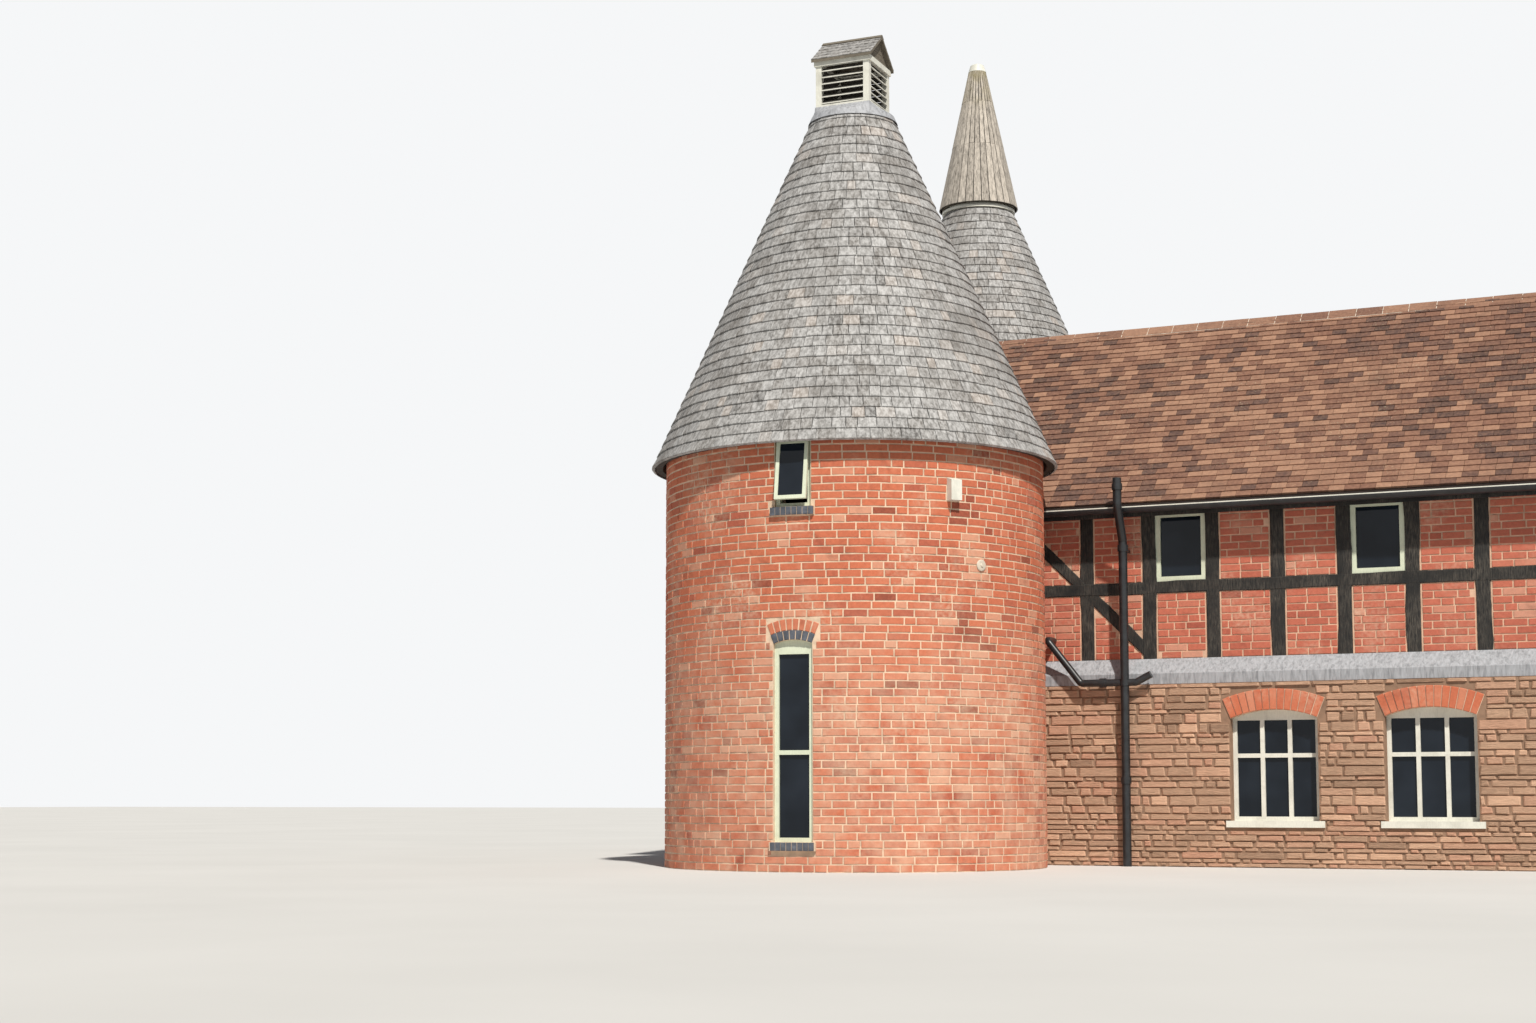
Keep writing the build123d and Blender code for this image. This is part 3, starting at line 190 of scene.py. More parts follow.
class Kiln(Cone):
    """One kiln: its conical roof, its round wall and the bearing of its windows."""

    def __init__(self, name, bearing):
        low, high = span(f"{name}_kiln_wall_1", f"{name}_kiln_wall_2")
        super().__init__(f"{name}_kiln_roof", ((low.x + high.x) / 2, (low.y + high.y) / 2))
        self.name = name
        self.bearing = math.radians(bearing)
        self.wall_radius = (high.x - low.x) / 2
        self.wall_top = high.z
        self.middle = self.bearing * self.wall_radius

    def on_wall(self, proud=0.0):
        """u round the wall or a little outside it, v up and w outwards."""
        radius = self.wall_radius + proud

        def place(u, v, w):
            reach, angle = radius + w, u / radius
            return self.centre[0] + reach * np.cos(angle), self.centre[1] + reach * np.sin(angle), v
        return place


WINDOW_BEARING = 85
FRONT_KILN = Kiln("front", -WINDOW_BEARING)
REAR_KILN = Kiln("rear", WINDOW_BEARING)
KILNS = (FRONT_KILN, REAR_KILN)

FACE_DEPTH = 0.4                     # how far behind a side's face its own windows can lie
NARROWEST = 0.2                      # anything narrower is a bar or is seen edge-on


class Side:
    """One side of the wing: its directions seen from outside, and the faces of its storeys."""

    def __init__(self, name, right, out, frame_node):
        self.name = name
        self.right = Vector(right)
        self.out = Vector(out)
        self.frame_node = frame_node
        self.timber = self.reach(frame_node)
        self.stone = self.reach(f"{name}_stone_wall")
        self.left, self.end = stretch(*span("front_stone_wall", "rear_stone_wall"), self.right)
        self.timber_left, self.timber_end = stretch(
            *span("front_timber_frame", "rear_timber_frame"), self.right
        )

    def reach(self, node):
        """How far out the node comes on this side."""
        return stretch(*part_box(node), self.out)[1]

    def place(self, distance):
        return on_plane(self.out * distance, self.right, (0, 0, 1))

    def holes(self, node, grow=0.0):
        """The node's solids that stand on this side, as (left, right, bottom, top)."""
        found = []
        for low, high in solid_boxes(node):
            left, right = stretch(low, high, self.right)
            outermost = stretch(low, high, self.out)[1]
            if outermost >= self.timber - FACE_DEPTH and right - left > NARROWEST:
                found.append((left - grow, right + grow, low.z - grow, high.z + grow))
        return found

    def draws(self, seed):
        """The side's own run of random numbers."""
        return random.Random(seed + SIDES.index(self))


FRONT = Side("front", (1, 0, 0), (0, -1, 0), "front_timber_frame")
REAR = Side("rear", (-1, 0, 0), (0, 1, 0), "rear_timber_frame")
LEFT = Side("left", (0, -1, 0), (-1, 0, 0), "left_gable_frame")
RIGHT = Side("right", (0, 1, 0), (1, 0, 0), "right_gable_frame")
LONG_SIDES = (FRONT, REAR)
SIDES = (*LONG_SIDES, LEFT, RIGHT)
KILN_BY_SIDE = {"front": FRONT_KILN, "rear": REAR_KILN}


def kiln_holes(side, distance, height, bottom, top, gap=0.0):
    """The stretch of the side's face that a kiln covers at a height, as one hole or none."""
    kiln = KILN_BY_SIDE.get(side.name)
    if not kiln:
        return []
    radius = kiln.wall_radius
    if height > kiln.foot:
        radius = kiln.foot_radius - (height - kiln.foot) / math.tan(kiln.pitch)
    radius += gap
    off = abs(kiln.centre[1]) - distance
    if radius <= abs(off):
        return []
    half = math.sqrt(radius**2 - off**2)
    middle = Vector((*kiln.centre, 0)).dot(side.right)
    return [(middle - half, middle + half, bottom, top)]


def on_plane(origin, right, up):
    """u to the right, v up and w outwards, seen from outside."""
    right = Vector(right).normalized()
    up = Vector(up).normalized()
    out = right.cross(up)

    def place(u, v, w):
        return tuple(origin[i] + u * right[i] + v * up[i] + w * out[i] for i in range(3))
    return place


# Meshes
def add_object(name, data):
    made = bpy.data.objects.new(name, data)
    bpy.context.scene.collection.objects.link(made)
    return made


def new_piece(name, vertices, faces, material, slot, body=BODY, tint=None):
    mesh = bpy.data.meshes.new(name)
    mesh.from_pydata(vertices, [], faces)
    mesh.materials.append(MATERIALS[material])
    if tint is not None:
        layer = mesh.attributes.new("tint", "FLOAT", "FACE")
        layer.data.foreach_set("value", np.asarray(tint, np.float32))
    mesh.update()
    piece = add_object(name, mesh)
    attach(piece, body)
    return piece


def ring_quads(rings, count, base=0, closed=True):
    """Quads that join rings of points, each ring to the next."""
    return [
        (a + i, a + (i + 1) % count, a + count + (i + 1) % count, a + count + i)
        for a in range(base, base + (rings - 1) * count, count)
        for i in range(count if closed else count - 1)
    ]


def bar(outline, left, right, base=0):
    """Points and faces of a (y, z) outline carried from one x to another."""
    count = len(outline)
    points = [(x, y, z) for x in (left, right) for y, z in outline]
    ends = (reversed(range(base, base + count)), range(base + count, base + 2 * count))
    return points, ring_quads(2, count, base) + [tuple(end) for end in ends]


BLOCK_QUADS = np.array([*ring_quads(3, 4), (8, 9, 10, 11)])
BEVEL = 1.4                          # how far in a block's face starts, in chamfers
DEEPEST_BEVEL = 0.45                 # and at most this share of the way to its middle


class Blocks:
    """Bricks, stones, shingles or boards laid on one surface and joined into one mesh."""

    def __init__(self, place, chamfer):
        self.place = place
        self.chamfer = chamfer
        self.corners = []
        self.low = []
        self.face = []
        self.tint = []

    def lay(self, corners, low, face, tint):
        """Four corners, anticlockwise from the lower left; face is one height or four."""
        self.corners.append(corners)
        self.low.append(low)
        self.face.append(face if isinstance(face, (tuple, list)) else (face,) * 4)
        self.tint.append(tint)

    def lay_bar(self, left, right, bottom, top, low, face, tint):
        self.lay(((left, bottom), (right, bottom), (right, top), (left, top)), low, face, tint)

    def build(self, name, material, slot, body=BODY):
        corners = np.array(self.corners, float)
        low = np.array(self.low, float)[:, None] + np.zeros((1, 4))
        face = np.array(self.face, float)
        middle = corners.mean(axis=1, keepdims=True)
        scale = self.metric(corners)
        inward = (middle - corners) * scale
        reach = np.linalg.norm(inward, axis=2, keepdims=True)
        step = np.minimum(self.chamfer * BEVEL, reach * DEEPEST_BEVEL)
        inset = corners + inward / reach * step / scale
        rings = ((corners, low), (corners, face - self.chamfer), (inset, face))
        points = np.stack([
            np.stack(self.place(ring[..., 0], ring[..., 1], height), axis=-1)
            for ring, height in rings
        ], axis=1).reshape(-1, 3)
        first = np.arange(len(corners))[:, None, None] * 12
        faces = (first + BLOCK_QUADS[None]).reshape(-1, 4)
        tint = np.repeat(self.tint, len(BLOCK_QUADS))
        return new_piece(name, points.tolist(), faces.tolist(), material, slot, body, tint)

    def metric(self, corners):
        """How many metres one unit of u and of v are, block by block."""
        middle = corners.mean(axis=1)
        small = 1e-3
        zero = np.zeros(len(middle))
        here = np.stack(self.place(middle[:, 0], middle[:, 1], zero), axis=-1)
        across = np.stack(self.place(middle[:, 0] + small, middle[:, 1], zero), axis=-1)
        along = np.linalg.norm(across - here, axis=1) / small
        return np.stack([along, np.ones(len(middle))], axis=-1)[:, None, :]


LATHE_STEPS = 96


def lathe(name, profile, centre, material, slot):
    """A closed profile of (radius, height) points turned about an upright axis."""
    turns = [2 * math.pi * step / LATHE_STEPS for step in range(LATHE_STEPS)]
    vertices = [
        (centre[0] + r * math.cos(a), centre[1] + r * math.sin(a), z)
        for a in turns for r, z in profile
    ]
    quads = ring_quads(LATHE_STEPS + 1, len(profile))
    faces = [tuple(i % len(vertices) for i in (a, d, c, b)) for a, b, c, d in quads]
    return new_piece(name, vertices, faces, material, slot)


# Laying out rows
FAR = 9                              # further than any row on the wing's sides goes
BRICK_CHAMFER = 0.004
PANEL_CHAMFER = 0.003
STONE_CHAMFER = 0.011
SHINGLE_CHAMFER = 0.0025
BOARD_CHAMFER = 0.0015
VENT_CHAMFER = 0.002
EDGE_CHAMFER = 0.001
BED = -0.004                         # where the backs of bricks, boards and small shingles lie
BRICK_WOBBLE = 0.002
SMALLEST_BRICK = 0.05
HEADER = 0.52                        # a header's length as a share of a stretcher's


def cut_run(left, right, bottom, top, holes):
    """What is left of a row's stretch once the holes that cross it are taken out."""
    runs = [(left, right)]
    for hole_left, hole_right, hole_bottom, hole_top in holes:
        if hole_bottom >= top or hole_top <= bottom:
            continue
        kept = []
        for a, b in runs:
            if hole_right <= a or hole_left >= b:
                kept.append((a, b))
                continue
            if hole_left > a:
                kept.append((a, hole_left))
            if hole_right < b:
                kept.append((hole_right, b))
        runs = kept
    return runs


def along_row(left, right, start, draw_length):
    """Places of the pieces along a row that begins before its left end, cut at both ends."""
    while start < right:
        end = start + draw_length()
        yield max(start, left), min(end, right)
        start = end


def lay_bricks(blocks, left, right, bottom, top, holes, rng, tone, headers=0.18, cuts=None):
    """Courses of bricks over a stretch of wall; cuts gives more holes for one course's heights."""
    s = sizes()
    gap = s.brick_joint / 2

    def draw_length():
        return s.brick_pitch * (HEADER if rng.random() < headers else 1.0) * rng.uniform(0.95, 1.05)

    def wobble():
        return rng.uniform(-BRICK_WOBBLE, BRICK_WOBBLE)

    for row in range(round((top - bottom) / s.brick_course)):
        low = bottom + row * s.brick_course + gap
        high = low + s.brick_course - 2 * gap
        shift = (row % 2) * s.brick_pitch / 2 + rng.uniform(0, 0.04)
        more = cuts(low, high) if cuts else []
        for run_left, run_right in cut_run(left, right, low, high, holes + more):
            for a, b in along_row(run_left, run_right, run_left - shift, draw_length):
                if b - a < SMALLEST_BRICK:
                    continue
                corners = (
                    (a + gap, low + wobble()), (b - gap, low + wobble()),
                    (b - gap, high + wobble()), (a + gap, high + wobble()),
                )
                face = s.brick_proud + wobble()
                blocks.lay(corners, BED, face, tone((a + b) / 2, (low + high) / 2, rng))


# Materials
MATERIALS = {}


class Finish:
    """A material in the making, with short calls for the nodes that it needs."""

    def __init__(self, name, roughness=0.8, specular=0.3, metallic=0.0):
        self.material = bpy.data.materials.new(name)
        self.material.use_nodes = True
        self.tree = self.material.node_tree
        self.shader = self.tree.nodes["Principled BSDF"]
        inputs = {"Roughness": roughness, "Specular IOR Level": specular, "Metallic": metallic}
        for key, value in inputs.items():
            self.shader.inputs[key].default_value = value
        self.coords = self.tree.nodes.new("ShaderNodeTexCoord").outputs["Object"]

    def node(self, kind, **inputs):
        """A new node with some inputs set or linked; a blank in an input's name is written _."""
        made = self.tree.nodes.new(kind)
        for key, value in inputs.items():
            self.put(made.inputs[key.replace("_", " ")], value)
        return made

    def put(self, socket, value):
        if isinstance(value, bpy.types.NodeSocket):
            self.tree.links.new(value, socket)
        elif isinstance(value, (tuple, list)) and len(value) == 3 and socket.type == "RGBA":
            socket.default_value = (*value, 1.0)
        else:
            socket.default_value = value

    def stretched(self, x, y, z):
        return self.node("ShaderNodeMapping", Vector=self.coords, Scale=(x, y, z)).outputs["Vector"]

    def noise(self, scale, detail, distortion=0.0, vector=None, rough=0.55):
        made = self.node(
            "ShaderNodeTexNoise", Vector=vector or self.coords, Scale=scale, Detail=detail,
            Distortion=distortion, Roughness=rough,
        )
        return made.outputs["Fac"]

    def tint(self):
        made = self.tree.nodes.new("ShaderNodeAttribute")
        made.attribute_name = "tint"
        return made.outputs["Fac"]

    def ramp(self, value, stops):
        """A colour ramp over (place, colour) stops."""
        made = self.node("ShaderNodeValToRGB", Fac=value)
        ramp = made.color_ramp
        while len(ramp.elements) < len(stops):
            ramp.elements.new(0.5)
        for element, (place, shade) in zip(ramp.elements, stops):
            element.position = place
            element.color = (*shade, 1.0)
        return made.outputs["Color"]

    def around(self, value, base, dark, middle, light):
        """The base colour at the middle place, with a (place, shade) of it on each side."""
        stops = (dark, (middle, 1.0), light)
        return self.ramp(value, [(place, shade(base, factor)) for place, factor in stops])

    def mask(self, value, low, high):
        """0 below the low value, 1 above the high one."""
        made = self.node("ShaderNodeMapRange", Value=value, From_Min=low, From_Max=high)
        return made.outputs["Result"]

    def patches(self, noise, low, high, amount):
        """Patches where the noise is high, as strong as the amount."""
        return self.times(self.mask(noise, low, high), amount)

    def times(self, a, b):
        made = self.tree.nodes.new("ShaderNodeMath")
        made.operation = "MULTIPLY"
        self.put(made.inputs[0], a)
        self.put(made.inputs[1], b)
        return made.outputs["Value"]

    def mix(self, a, b, amount):
        made = self.tree.nodes.new("ShaderNodeMix")
        made.data_type = "RGBA"
        self.put(made.inputs["Factor"], amount)
        self.put(made.inputs["A"], a)
        self.put(made.inputs["B"], b)
        return made.outputs["Result"]

    def colour(self, value):
        self.put(self.shader.inputs["Base Color"], value)

    def roughness(self, value, low, high):
        made = self.node("ShaderNodeMapRange", Value=value, To_Min=low, To_Max=high)
        self.put(self.shader.inputs["Roughness"], made.outputs["Result"])

    def bump(self, height, strength, distance):
        made = self.node("ShaderNodeBump", Height=height, Strength=strength, Distance=distance)
        last = self.shader.inputs["Normal"]
        if last.is_linked:
            self.tree.links.new(last.links[0].from_socket, made.inputs["Normal"])
        self.put(last, made.outputs["Normal"])


def shade(value, factor):
    return tuple(min(1.0, c * factor) for c in value)


def blend(a, b, amount):
    return tuple(x + (y - x) * amount for x, y in zip(a, b))


LIME_FADE = 0.6                      # half the height over which the limewash fades out


def brick_finish(name, light, dark, limed_below=0.0):
    """Fired brick: tone by brick, lime bloom, sooty patches and a sandy face."""
    mortar = tuple(colours().mortar)
    f = Finish(name, roughness=0.88, specular=0.25)
    base = f.ramp(f.tint(), [
        (0.0, shade(dark, 0.45)), (0.12, dark), (0.45, blend(dark, light, 0.75)),
        (0.8, light), (1.0, blend(light, mortar, 0.55)),
    ])
    mottle = f.ramp(f.noise(34, 5), [(0.3, shade(light, 0.55)), (0.7, shade(light, 1.15))])
    mottled = f.mix(base, mottle, 0.30)
    bloom = f.times(f.mask(f.noise(1.7, 5, 0.4), 0.50, 0.72), f.mask(f.noise(23, 4), 0.35, 0.75))
    limed = f.mix(mottled, mortar, f.times(bloom, 0.7))
    if limed_below:
        height = f.node("ShaderNodeSeparateXYZ", Vector=f.coords).outputs["Z"]
        low_down = f.mask(height, limed_below + LIME_FADE, limed_below - LIME_FADE)
        wash = f.times(low_down, f.mask(f.noise(4, 6), 0.3, 0.7))
        limed = f.mix(limed, mortar, f.times(wash, 0.42))
    soot = f.patches(f.noise(3.1, 6, 0.8), 0.58, 0.80, 0.45)
    f.colour(f.mix(limed, shade(dark, 0.35), soot))
    f.bump(f.noise(160, 4), 0.35, 0.002)
    f.bump(f.noise(28, 5), 0.45, 0.004)
    return f.material


def mortar_finish(name, base):
    f = Finish(name, roughness=0.95, specular=0.15)
    f.colour(f.around(f.noise(9, 6), base, (0.3, 0.72), 0.55, (0.8, 1.12)))
    f.bump(f.noise(220, 3), 0.5, 0.002)
    f.bump(f.noise(25, 4), 0.4, 0.005)
    return f.material


def blue_brick_finish(name):
    base = tuple(colours().blue_brick)
    f = Finish(name, roughness=0.6, specular=0.4)
    f.colour(f.around(f.noise(14, 6), base, (0.3, 0.45), 0.6, (0.85, 1.7)))
    f.bump(f.noise(60, 4), 0.4, 0.003)
    return f.material


def shingle_finish(name):
    """Cleft shingles gone silver, streaked down the slope, with brown ones among them."""
    c = colours()
    silver, brown = tuple(c.shingle), tuple(c.shingle_brown)
    f = Finish(name, roughness=0.85, specular=0.25)
    base = f.ramp(f.tint(), [
        (0.0, shade(brown, 0.15)), (0.12, shade(brown, 0.55)), (0.35, shade(brown, 0.9)),
        (0.6, silver), (0.82, shade(silver, 1.5)),
        (1.0, blend(shade(silver, 1.6), (0.55, 0.34, 0.18), 0.4)),
    ])
    grain = f.noise(9, 6, 0.3, f.stretched(7, 7, 0.9), 0.65)
    fine = f.ramp(grain, [(0.35, shade(silver, 0.25)), (0.65, shade(silver, 1.5))])
    streaked = f.mix(base, fine, 0.48)
    runs = f.noise(9, 3, 0.3, f.stretched(3.2, 3.2, 0.7), 0.6)
    broad = f.ramp(runs, [(0.38, shade(brown, 0.4)), (0.62, shade(silver, 1.8))])
    streaked = f.mix(streaked, broad, 0.40)
    damp = f.patches(f.noise(0.9, 4, 0.6), 0.50, 0.68, 0.5)
    f.colour(f.mix(streaked, shade(brown, 0.6), damp))
    f.bump(grain, 0.7, 0.004)
    return f.material


def clay_tile_finish(name):
    """Hand-made clay tiles in red-brown, orange and purple, with lichen and soot."""
    c = colours()
    f = Finish(name, roughness=0.85, specular=0.3)
    base = f.ramp(f.tint(), [
        (0.0, shade(c.tile_dark, 0.6)), (0.2, tuple(c.tile_dark)), (0.5, tuple(c.tile)),
        (0.8, blend(c.tile, c.tile_pale, 0.6)), (1.0, tuple(c.tile_pale)),
    ])
    speckle = f.ramp(f.noise(26, 5), [(0.3, shade(c.tile_dark, 0.8)), (0.7, tuple(c.tile_pale))])
    worn = f.mix(base, speckle, 0.3)
    lichen = f.times(f.mask(f.noise(48, 5), 0.60, 0.72), f.mask(f.noise(1.4, 3), 0.45, 0.65))
    lichened = f.mix(worn, as_seen(0.74, 0.72, 0.62), f.times(lichen, 0.7))
    soot = f.patches(f.noise(2.3, 5), 0.55, 0.75, 0.35)
    f.colour(f.mix(lichened, (0.05, 0.035, 0.03), soot))
    f.bump(f.noise(120, 4), 0.35, 0.002)
    f.bump(f.noise(16, 4), 0.4, 0.004)
    return f.material


def stone_finish(name):
    c = colours()
    base = tuple(c.stone)
    f = Finish(name, roughness=0.92, specular=0.2)
    tone = f.ramp(f.tint(), [
        (0.0, shade(base, 0.4)), (0.3, shade(base, 0.75)), (0.6, base),
        (0.85, blend(base, as_seen(0.76, 0.50, 0.42), 0.6)), (1.0, shade(base, 1.35)),
    ])
    beds = f.noise(6, 6, 0.8, f.stretched(2, 2, 16), 0.6)
    bedded = f.mix(tone, f.ramp(beds, [(0.3, shade(base, 0.5)), (0.7, shade(base, 1.25))]), 0.45)
    f.colour(f.mix(bedded, shade(base, 0.3), f.patches(f.noise(2, 6), 0.55, 0.78, 0.4)))
    f.bump(beds, 0.9, 0.012)
    f.bump(f.noise(70, 5), 0.5, 0.004)
    return f.material


def timber_finish(name, painted, bare, wear):
    """Painted or tarred oak with checks along the grain, bare where the weather reaches."""
    f = Finish(name, roughness=0.75, specular=0.3)
    grain = f.noise(8, 7, 0.5, f.stretched(10, 10, 1.2), 0.65)
    patches = f.mask(f.noise(2.6, 5, 0.5), 0.62 - 0.3 * wear, 0.85)
    worn = f.times(f.mask(grain, 0.5 - 0.1 * wear, 0.75), patches)
    dark = f.mix(painted, shade(painted, 0.4), f.noise(20, 4))
    f.colour(f.mix(dark, bare, worn))
    f.bump(grain, 0.8, 0.006)
    return f.material


def painted_finish(name, base, dirt):
    """Brushed paint over wood, dirty in the grain and in patches."""
    f = Finish(name, roughness=0.5, specular=0.4)
    grain = f.noise(10, 6, 0.3, f.stretched(14, 14, 2), 0.6)
    dirty = f.patches(f.noise(4.5, 6, 0.7), 0.45, 0.8, dirt)
    aged = f.mix(base, shade(base, 0.82), f.mask(grain, 0.4, 0.8))
    f.colour(f.mix(aged, as_seen(0.42, 0.40, 0.34), dirty))
    f.bump(grain, 0.35, 0.002)
    return f.material


def board_finish(name):
    """Bare boards of the cowl: beige-grey, streaked down the grain, ochre and green at the top."""
    base = tuple(colours().cowl_board)
    f = Finish(name, roughness=0.88, specular=0.2)
    tone = f.ramp(f.tint(), [
        (0.0, shade(base, 0.4)), (0.35, shade(base, 0.8)), (1.0, shade(base, 1.15)),
    ])
    grain = f.noise(9, 7, 0.4, f.stretched(5, 5, 0.35), 0.7)
    streaks = f.ramp(grain, [(0.36, shade(base, 0.22)), (0.58, shade(base, 1.2))])
    streaked = f.mix(tone, streaks, 0.6)
    height = f.node("ShaderNodeSeparateXYZ", Vector=f.coords).outputs["Z"]
    grown = f.times(f.mask(height, COWL.top - 0.75, COWL.top), f.mask(f.noise(5, 5), 0.35, 0.7))
    f.colour(f.mix(streaked, as_seen(0.58, 0.54, 0.36), f.times(grown, 0.75)))
    f.bump(grain, 0.8, 0.004)
    return f.material


def lead_finish(name):
    base = tuple(colours().lead)
    f = Finish(name, roughness=0.65, specular=0.35, metallic=0.15)
    run = f.noise(7, 6, 0.6, f.stretched(5, 5, 0.8), 0.6)
    f.colour(f.around(run, base, (0.25, 0.5), 0.5, (0.75, 1.35)))
    f.roughness(run, 0.58, 0.8)
    f.bump(f.noise(11, 4), 0.4, 0.006)
    return f.material


def iron_finish(name, base, roughness):
    f = Finish(name, roughness=roughness, specular=0.5)
    f.colour(f.ramp(f.noise(12, 5), [(0.3, shade(base, 0.6)), (0.7, shade(base, 1.5))]))
    f.bump(f.noise(45, 4), 0.2, 0.002)
    return f.material


def glass_painted_shade_finish(name):
    """Old window glass, opaque and near-black as painted shade of the unlit inside: glossy, a little
    uneven.
    """
    f = Finish(name, roughness=0.06, specular=0.22)
    f.colour(f.ramp(f.noise(2, 2), [(0.3, (0.006, 0.009, 0.014)), (0.7, (0.014, 0.02, 0.03))]))
    f.bump(f.noise(3, 2), 0.08, 0.01)
    return f.material


def make_materials():
    c = colours()
    light, dark, black = tuple(c.kiln_brick), tuple(c.kiln_brick_dark), tuple(c.black_timber)
    white = tuple(c.white_paint)
    for name, finish, *values in (
        ("kiln_bricks", brick_finish, light, dark, 2.2),
        ("panel_bricks", brick_finish, blend(light, as_seen(0.76, 0.44, 0.38), 0.6), dark),
        ("lime_mortar", mortar_finish, tuple(c.mortar)),
        ("panel_mortar", mortar_finish, blend(c.mortar, light, 0.25)),
        ("stone_mortar", mortar_finish, shade(c.stone, 0.55)),
        ("arch_bricks", brick_finish, light, dark),
        ("blue_brick", blue_brick_finish),
        ("shingles", shingle_finish),
        ("shingle_underside", timber_finish, (0.06, 0.05, 0.04), (0.12, 0.1, 0.08), 0.3),
        ("clay_tiles", clay_tile_finish),
        ("ridge_clay", clay_tile_finish),
        ("roof_underside", timber_finish, (0.05, 0.035, 0.03), (0.12, 0.09, 0.07), 0.3),
        ("sandstone", stone_finish),
        ("black_timber", timber_finish, black, tuple(c.bare_timber), 1.0),
        ("floor_boards", timber_finish, as_seen(0.5, 0.4, 0.3), as_seen(0.6, 0.52, 0.42), 0.5),
        ("floor_flags", mortar_finish, as_seen(0.55, 0.52, 0.47)),
        ("vent_paint", painted_finish, white, 0.5),
        ("window_paint", painted_finish, tuple(c.window_paint), 0.2),
        ("white_paint", painted_finish, white, 0.3),
        ("cowl_boards", board_finish),
        # Near-black wood under the cowl's boards: painted shade for the gaps between the boards and
        # the inside of the mouth
        ("cowl_backing", timber_finish, (0.03, 0.026, 0.02), (0.07, 0.06, 0.05), 0.4),
        # Dark grey-brown slats: painted shade standing in for the shade under and between the
        # white-painted blades
        ("old_slats", timber_finish, as_seen(0.30, 0.29, 0.27), as_seen(0.42, 0.40, 0.37), 0.4),
        ("cowl_wood", timber_finish, as_seen(0.5, 0.47, 0.42), as_seen(0.62, 0.58, 0.52), 0.6),
        ("lead", lead_finish),
        ("black_iron", iron_finish, as_seen(0.14, 0.14, 0.15), 0.45),
        ("black_pipe", iron_finish, as_seen(0.13, 0.14, 0.15), 0.35),
        ("window_glass", glass_painted_shade_finish),
        ("render", mortar_finish, as_seen(0.86, 0.82, 0.76)),
    ):
        MATERIALS[name] = finish(name, *values)


def dress(material, *nodes):
    """Gives nodes of the model a finish in place of the one that they came with."""
    for node in nodes:
        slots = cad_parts[node].data.materials
        for number in range(len(slots)):
            slots[number] = MATERIALS[material]


# Pieces
SILL_HALF = 0.231
SILL_HEIGHT = 0.086
SILL_PROUD = 0.040
SILL_BRICKS = 8
UPPER_HALF = 0.1925
UPPER_DROP = 0.710                   # from the wall's top down to the upper windows' sills
TALL_HALF = 0.2075
TALL_SILL = 0.300
TALL_SPRING = 2.298
TALL_ARCH = (TALL_HALF, TALL_SPRING, 0.040, 0.095)       # half width, spring, rise and height
TALL_BRICKS = 7
TALL_FACE, TALL_JOINT = 0.008, 0.01
ARCH_SLACK = 0.006                   # left clear above the kilns' arches
RELIEF_HEIGHT = 0.115
RELIEF_BRICKS = 8
PLATE_BEARING = -28.6
PLATE_HEIGHT = 3.12
PLATE_RADIUS = 0.06
PLATE_SIDES = 20
PLATE_PROFILE = ((1.0, 0.0), (1.0, 0.014), (0.85, 0.018), (0.3, 0.018), (0.24, 0.028))
DARK_BEARING = -33.5                 # where the front kiln's darkest bricks are
DARK_HEIGHTS = ((2.28, 2.62), (3.42, 3.92))
DARK_REACH, PALE_REACH = 3.0, 3.4    # in degrees to each side
PALE_HEIGHT = 0.16                   # of the pale bricks above and below the plate's middle
PALEST, DARKEST = 0.98, 0.05


def arch_circle(half, spring, rise):
    """Radius of a segmental arch's curve and the height of its centre."""
    radius = (half**2 + rise**2) / (2 * rise)
    return radius, spring + rise - radius


def over_arch(half, spring, rise, height):
    """Half width, spring and rise of the arch that lies on the back of one of that height."""
    radius, centre = arch_circle(half, spring, rise)
    growth = (radius + height) / radius
    return half * growth, centre + (spring - centre) * growth, rise * growth


RELIEF_ARCH = (*over_arch(*TALL_ARCH), RELIEF_HEIGHT)


def arch_points(half, spring, rise, height, count):
    """Points along the inner and the outer curve of a segmental arch, from left to right."""
    radius, centre = arch_circle(half, spring, rise)
    spread = math.asin(half / radius)
    angles = [-spread + 2 * spread * i / count for i in range(count + 1)]
    return [
        [(reach * math.sin(a), centre + reach * math.cos(a)) for a in angles]
        for reach in (radius, radius + height)
    ]


def arch_holes(middle, arch, strips, below, above):
    """An arch as strips (left, right, bottom, top) to keep clear, with slack below and above."""
    outer = arch_points(*arch, strips)[1]
    return [
        (middle + left, middle + right, arch[1] - below, max(left_top, right_top) + above)
        for (left, left_top), (right, right_top) in zip(outer, outer[1:])
    ]


def window_holes(kiln):
    """Openings, sills and arches as rectangles (left, right, bottom, top) on the unrolled wall."""
    middle = kiln.middle
    upper_sill = kiln.wall_top - UPPER_DROP
    holes = [
        (middle - UPPER_HALF, middle + UPPER_HALF, upper_sill, kiln.wall_top + 1),
        (middle - TALL_HALF, middle + TALL_HALF, TALL_SILL, TALL_SPRING),
    ]
    for sill in (upper_sill, TALL_SILL):
        holes.append((middle - SILL_HALF, middle + SILL_HALF, sill - SILL_HEIGHT, sill))
    holes += arch_holes(middle, TALL_ARCH, 6, 0.01, ARCH_SLACK)
    inner, outer = arch_points(*RELIEF_ARCH, RELIEF_BRICKS)
    for (_, a), (_, b), (left, c), (right, d) in zip(inner, inner[1:], outer, outer[1:]):
        holes.append((middle + left, middle + right, min(a, b) - 0.004, max(c, d) + ARCH_SLACK))
    return holes


def lay_voussoirs(blocks, middle, arch, count, face, gap, rng):
    """The bricks of an arch, from left to right."""
    inner, outer = arch_points(*arch, count)
    shrink = gap / 2
    for (a, b), (c, d), (e, g), (i, j) in zip(inner, inner[1:], outer, outer[1:]):
        corners = (
            (middle + a + shrink, b + 0.002), (middle + c - shrink, d + 0.002),
            (middle + i - shrink, j), (middle + e + shrink, g),
        )
        blocks.lay(corners, BED, face + rng.uniform(-0.001, 0.001), rng.uniform(0.3, 0.9))


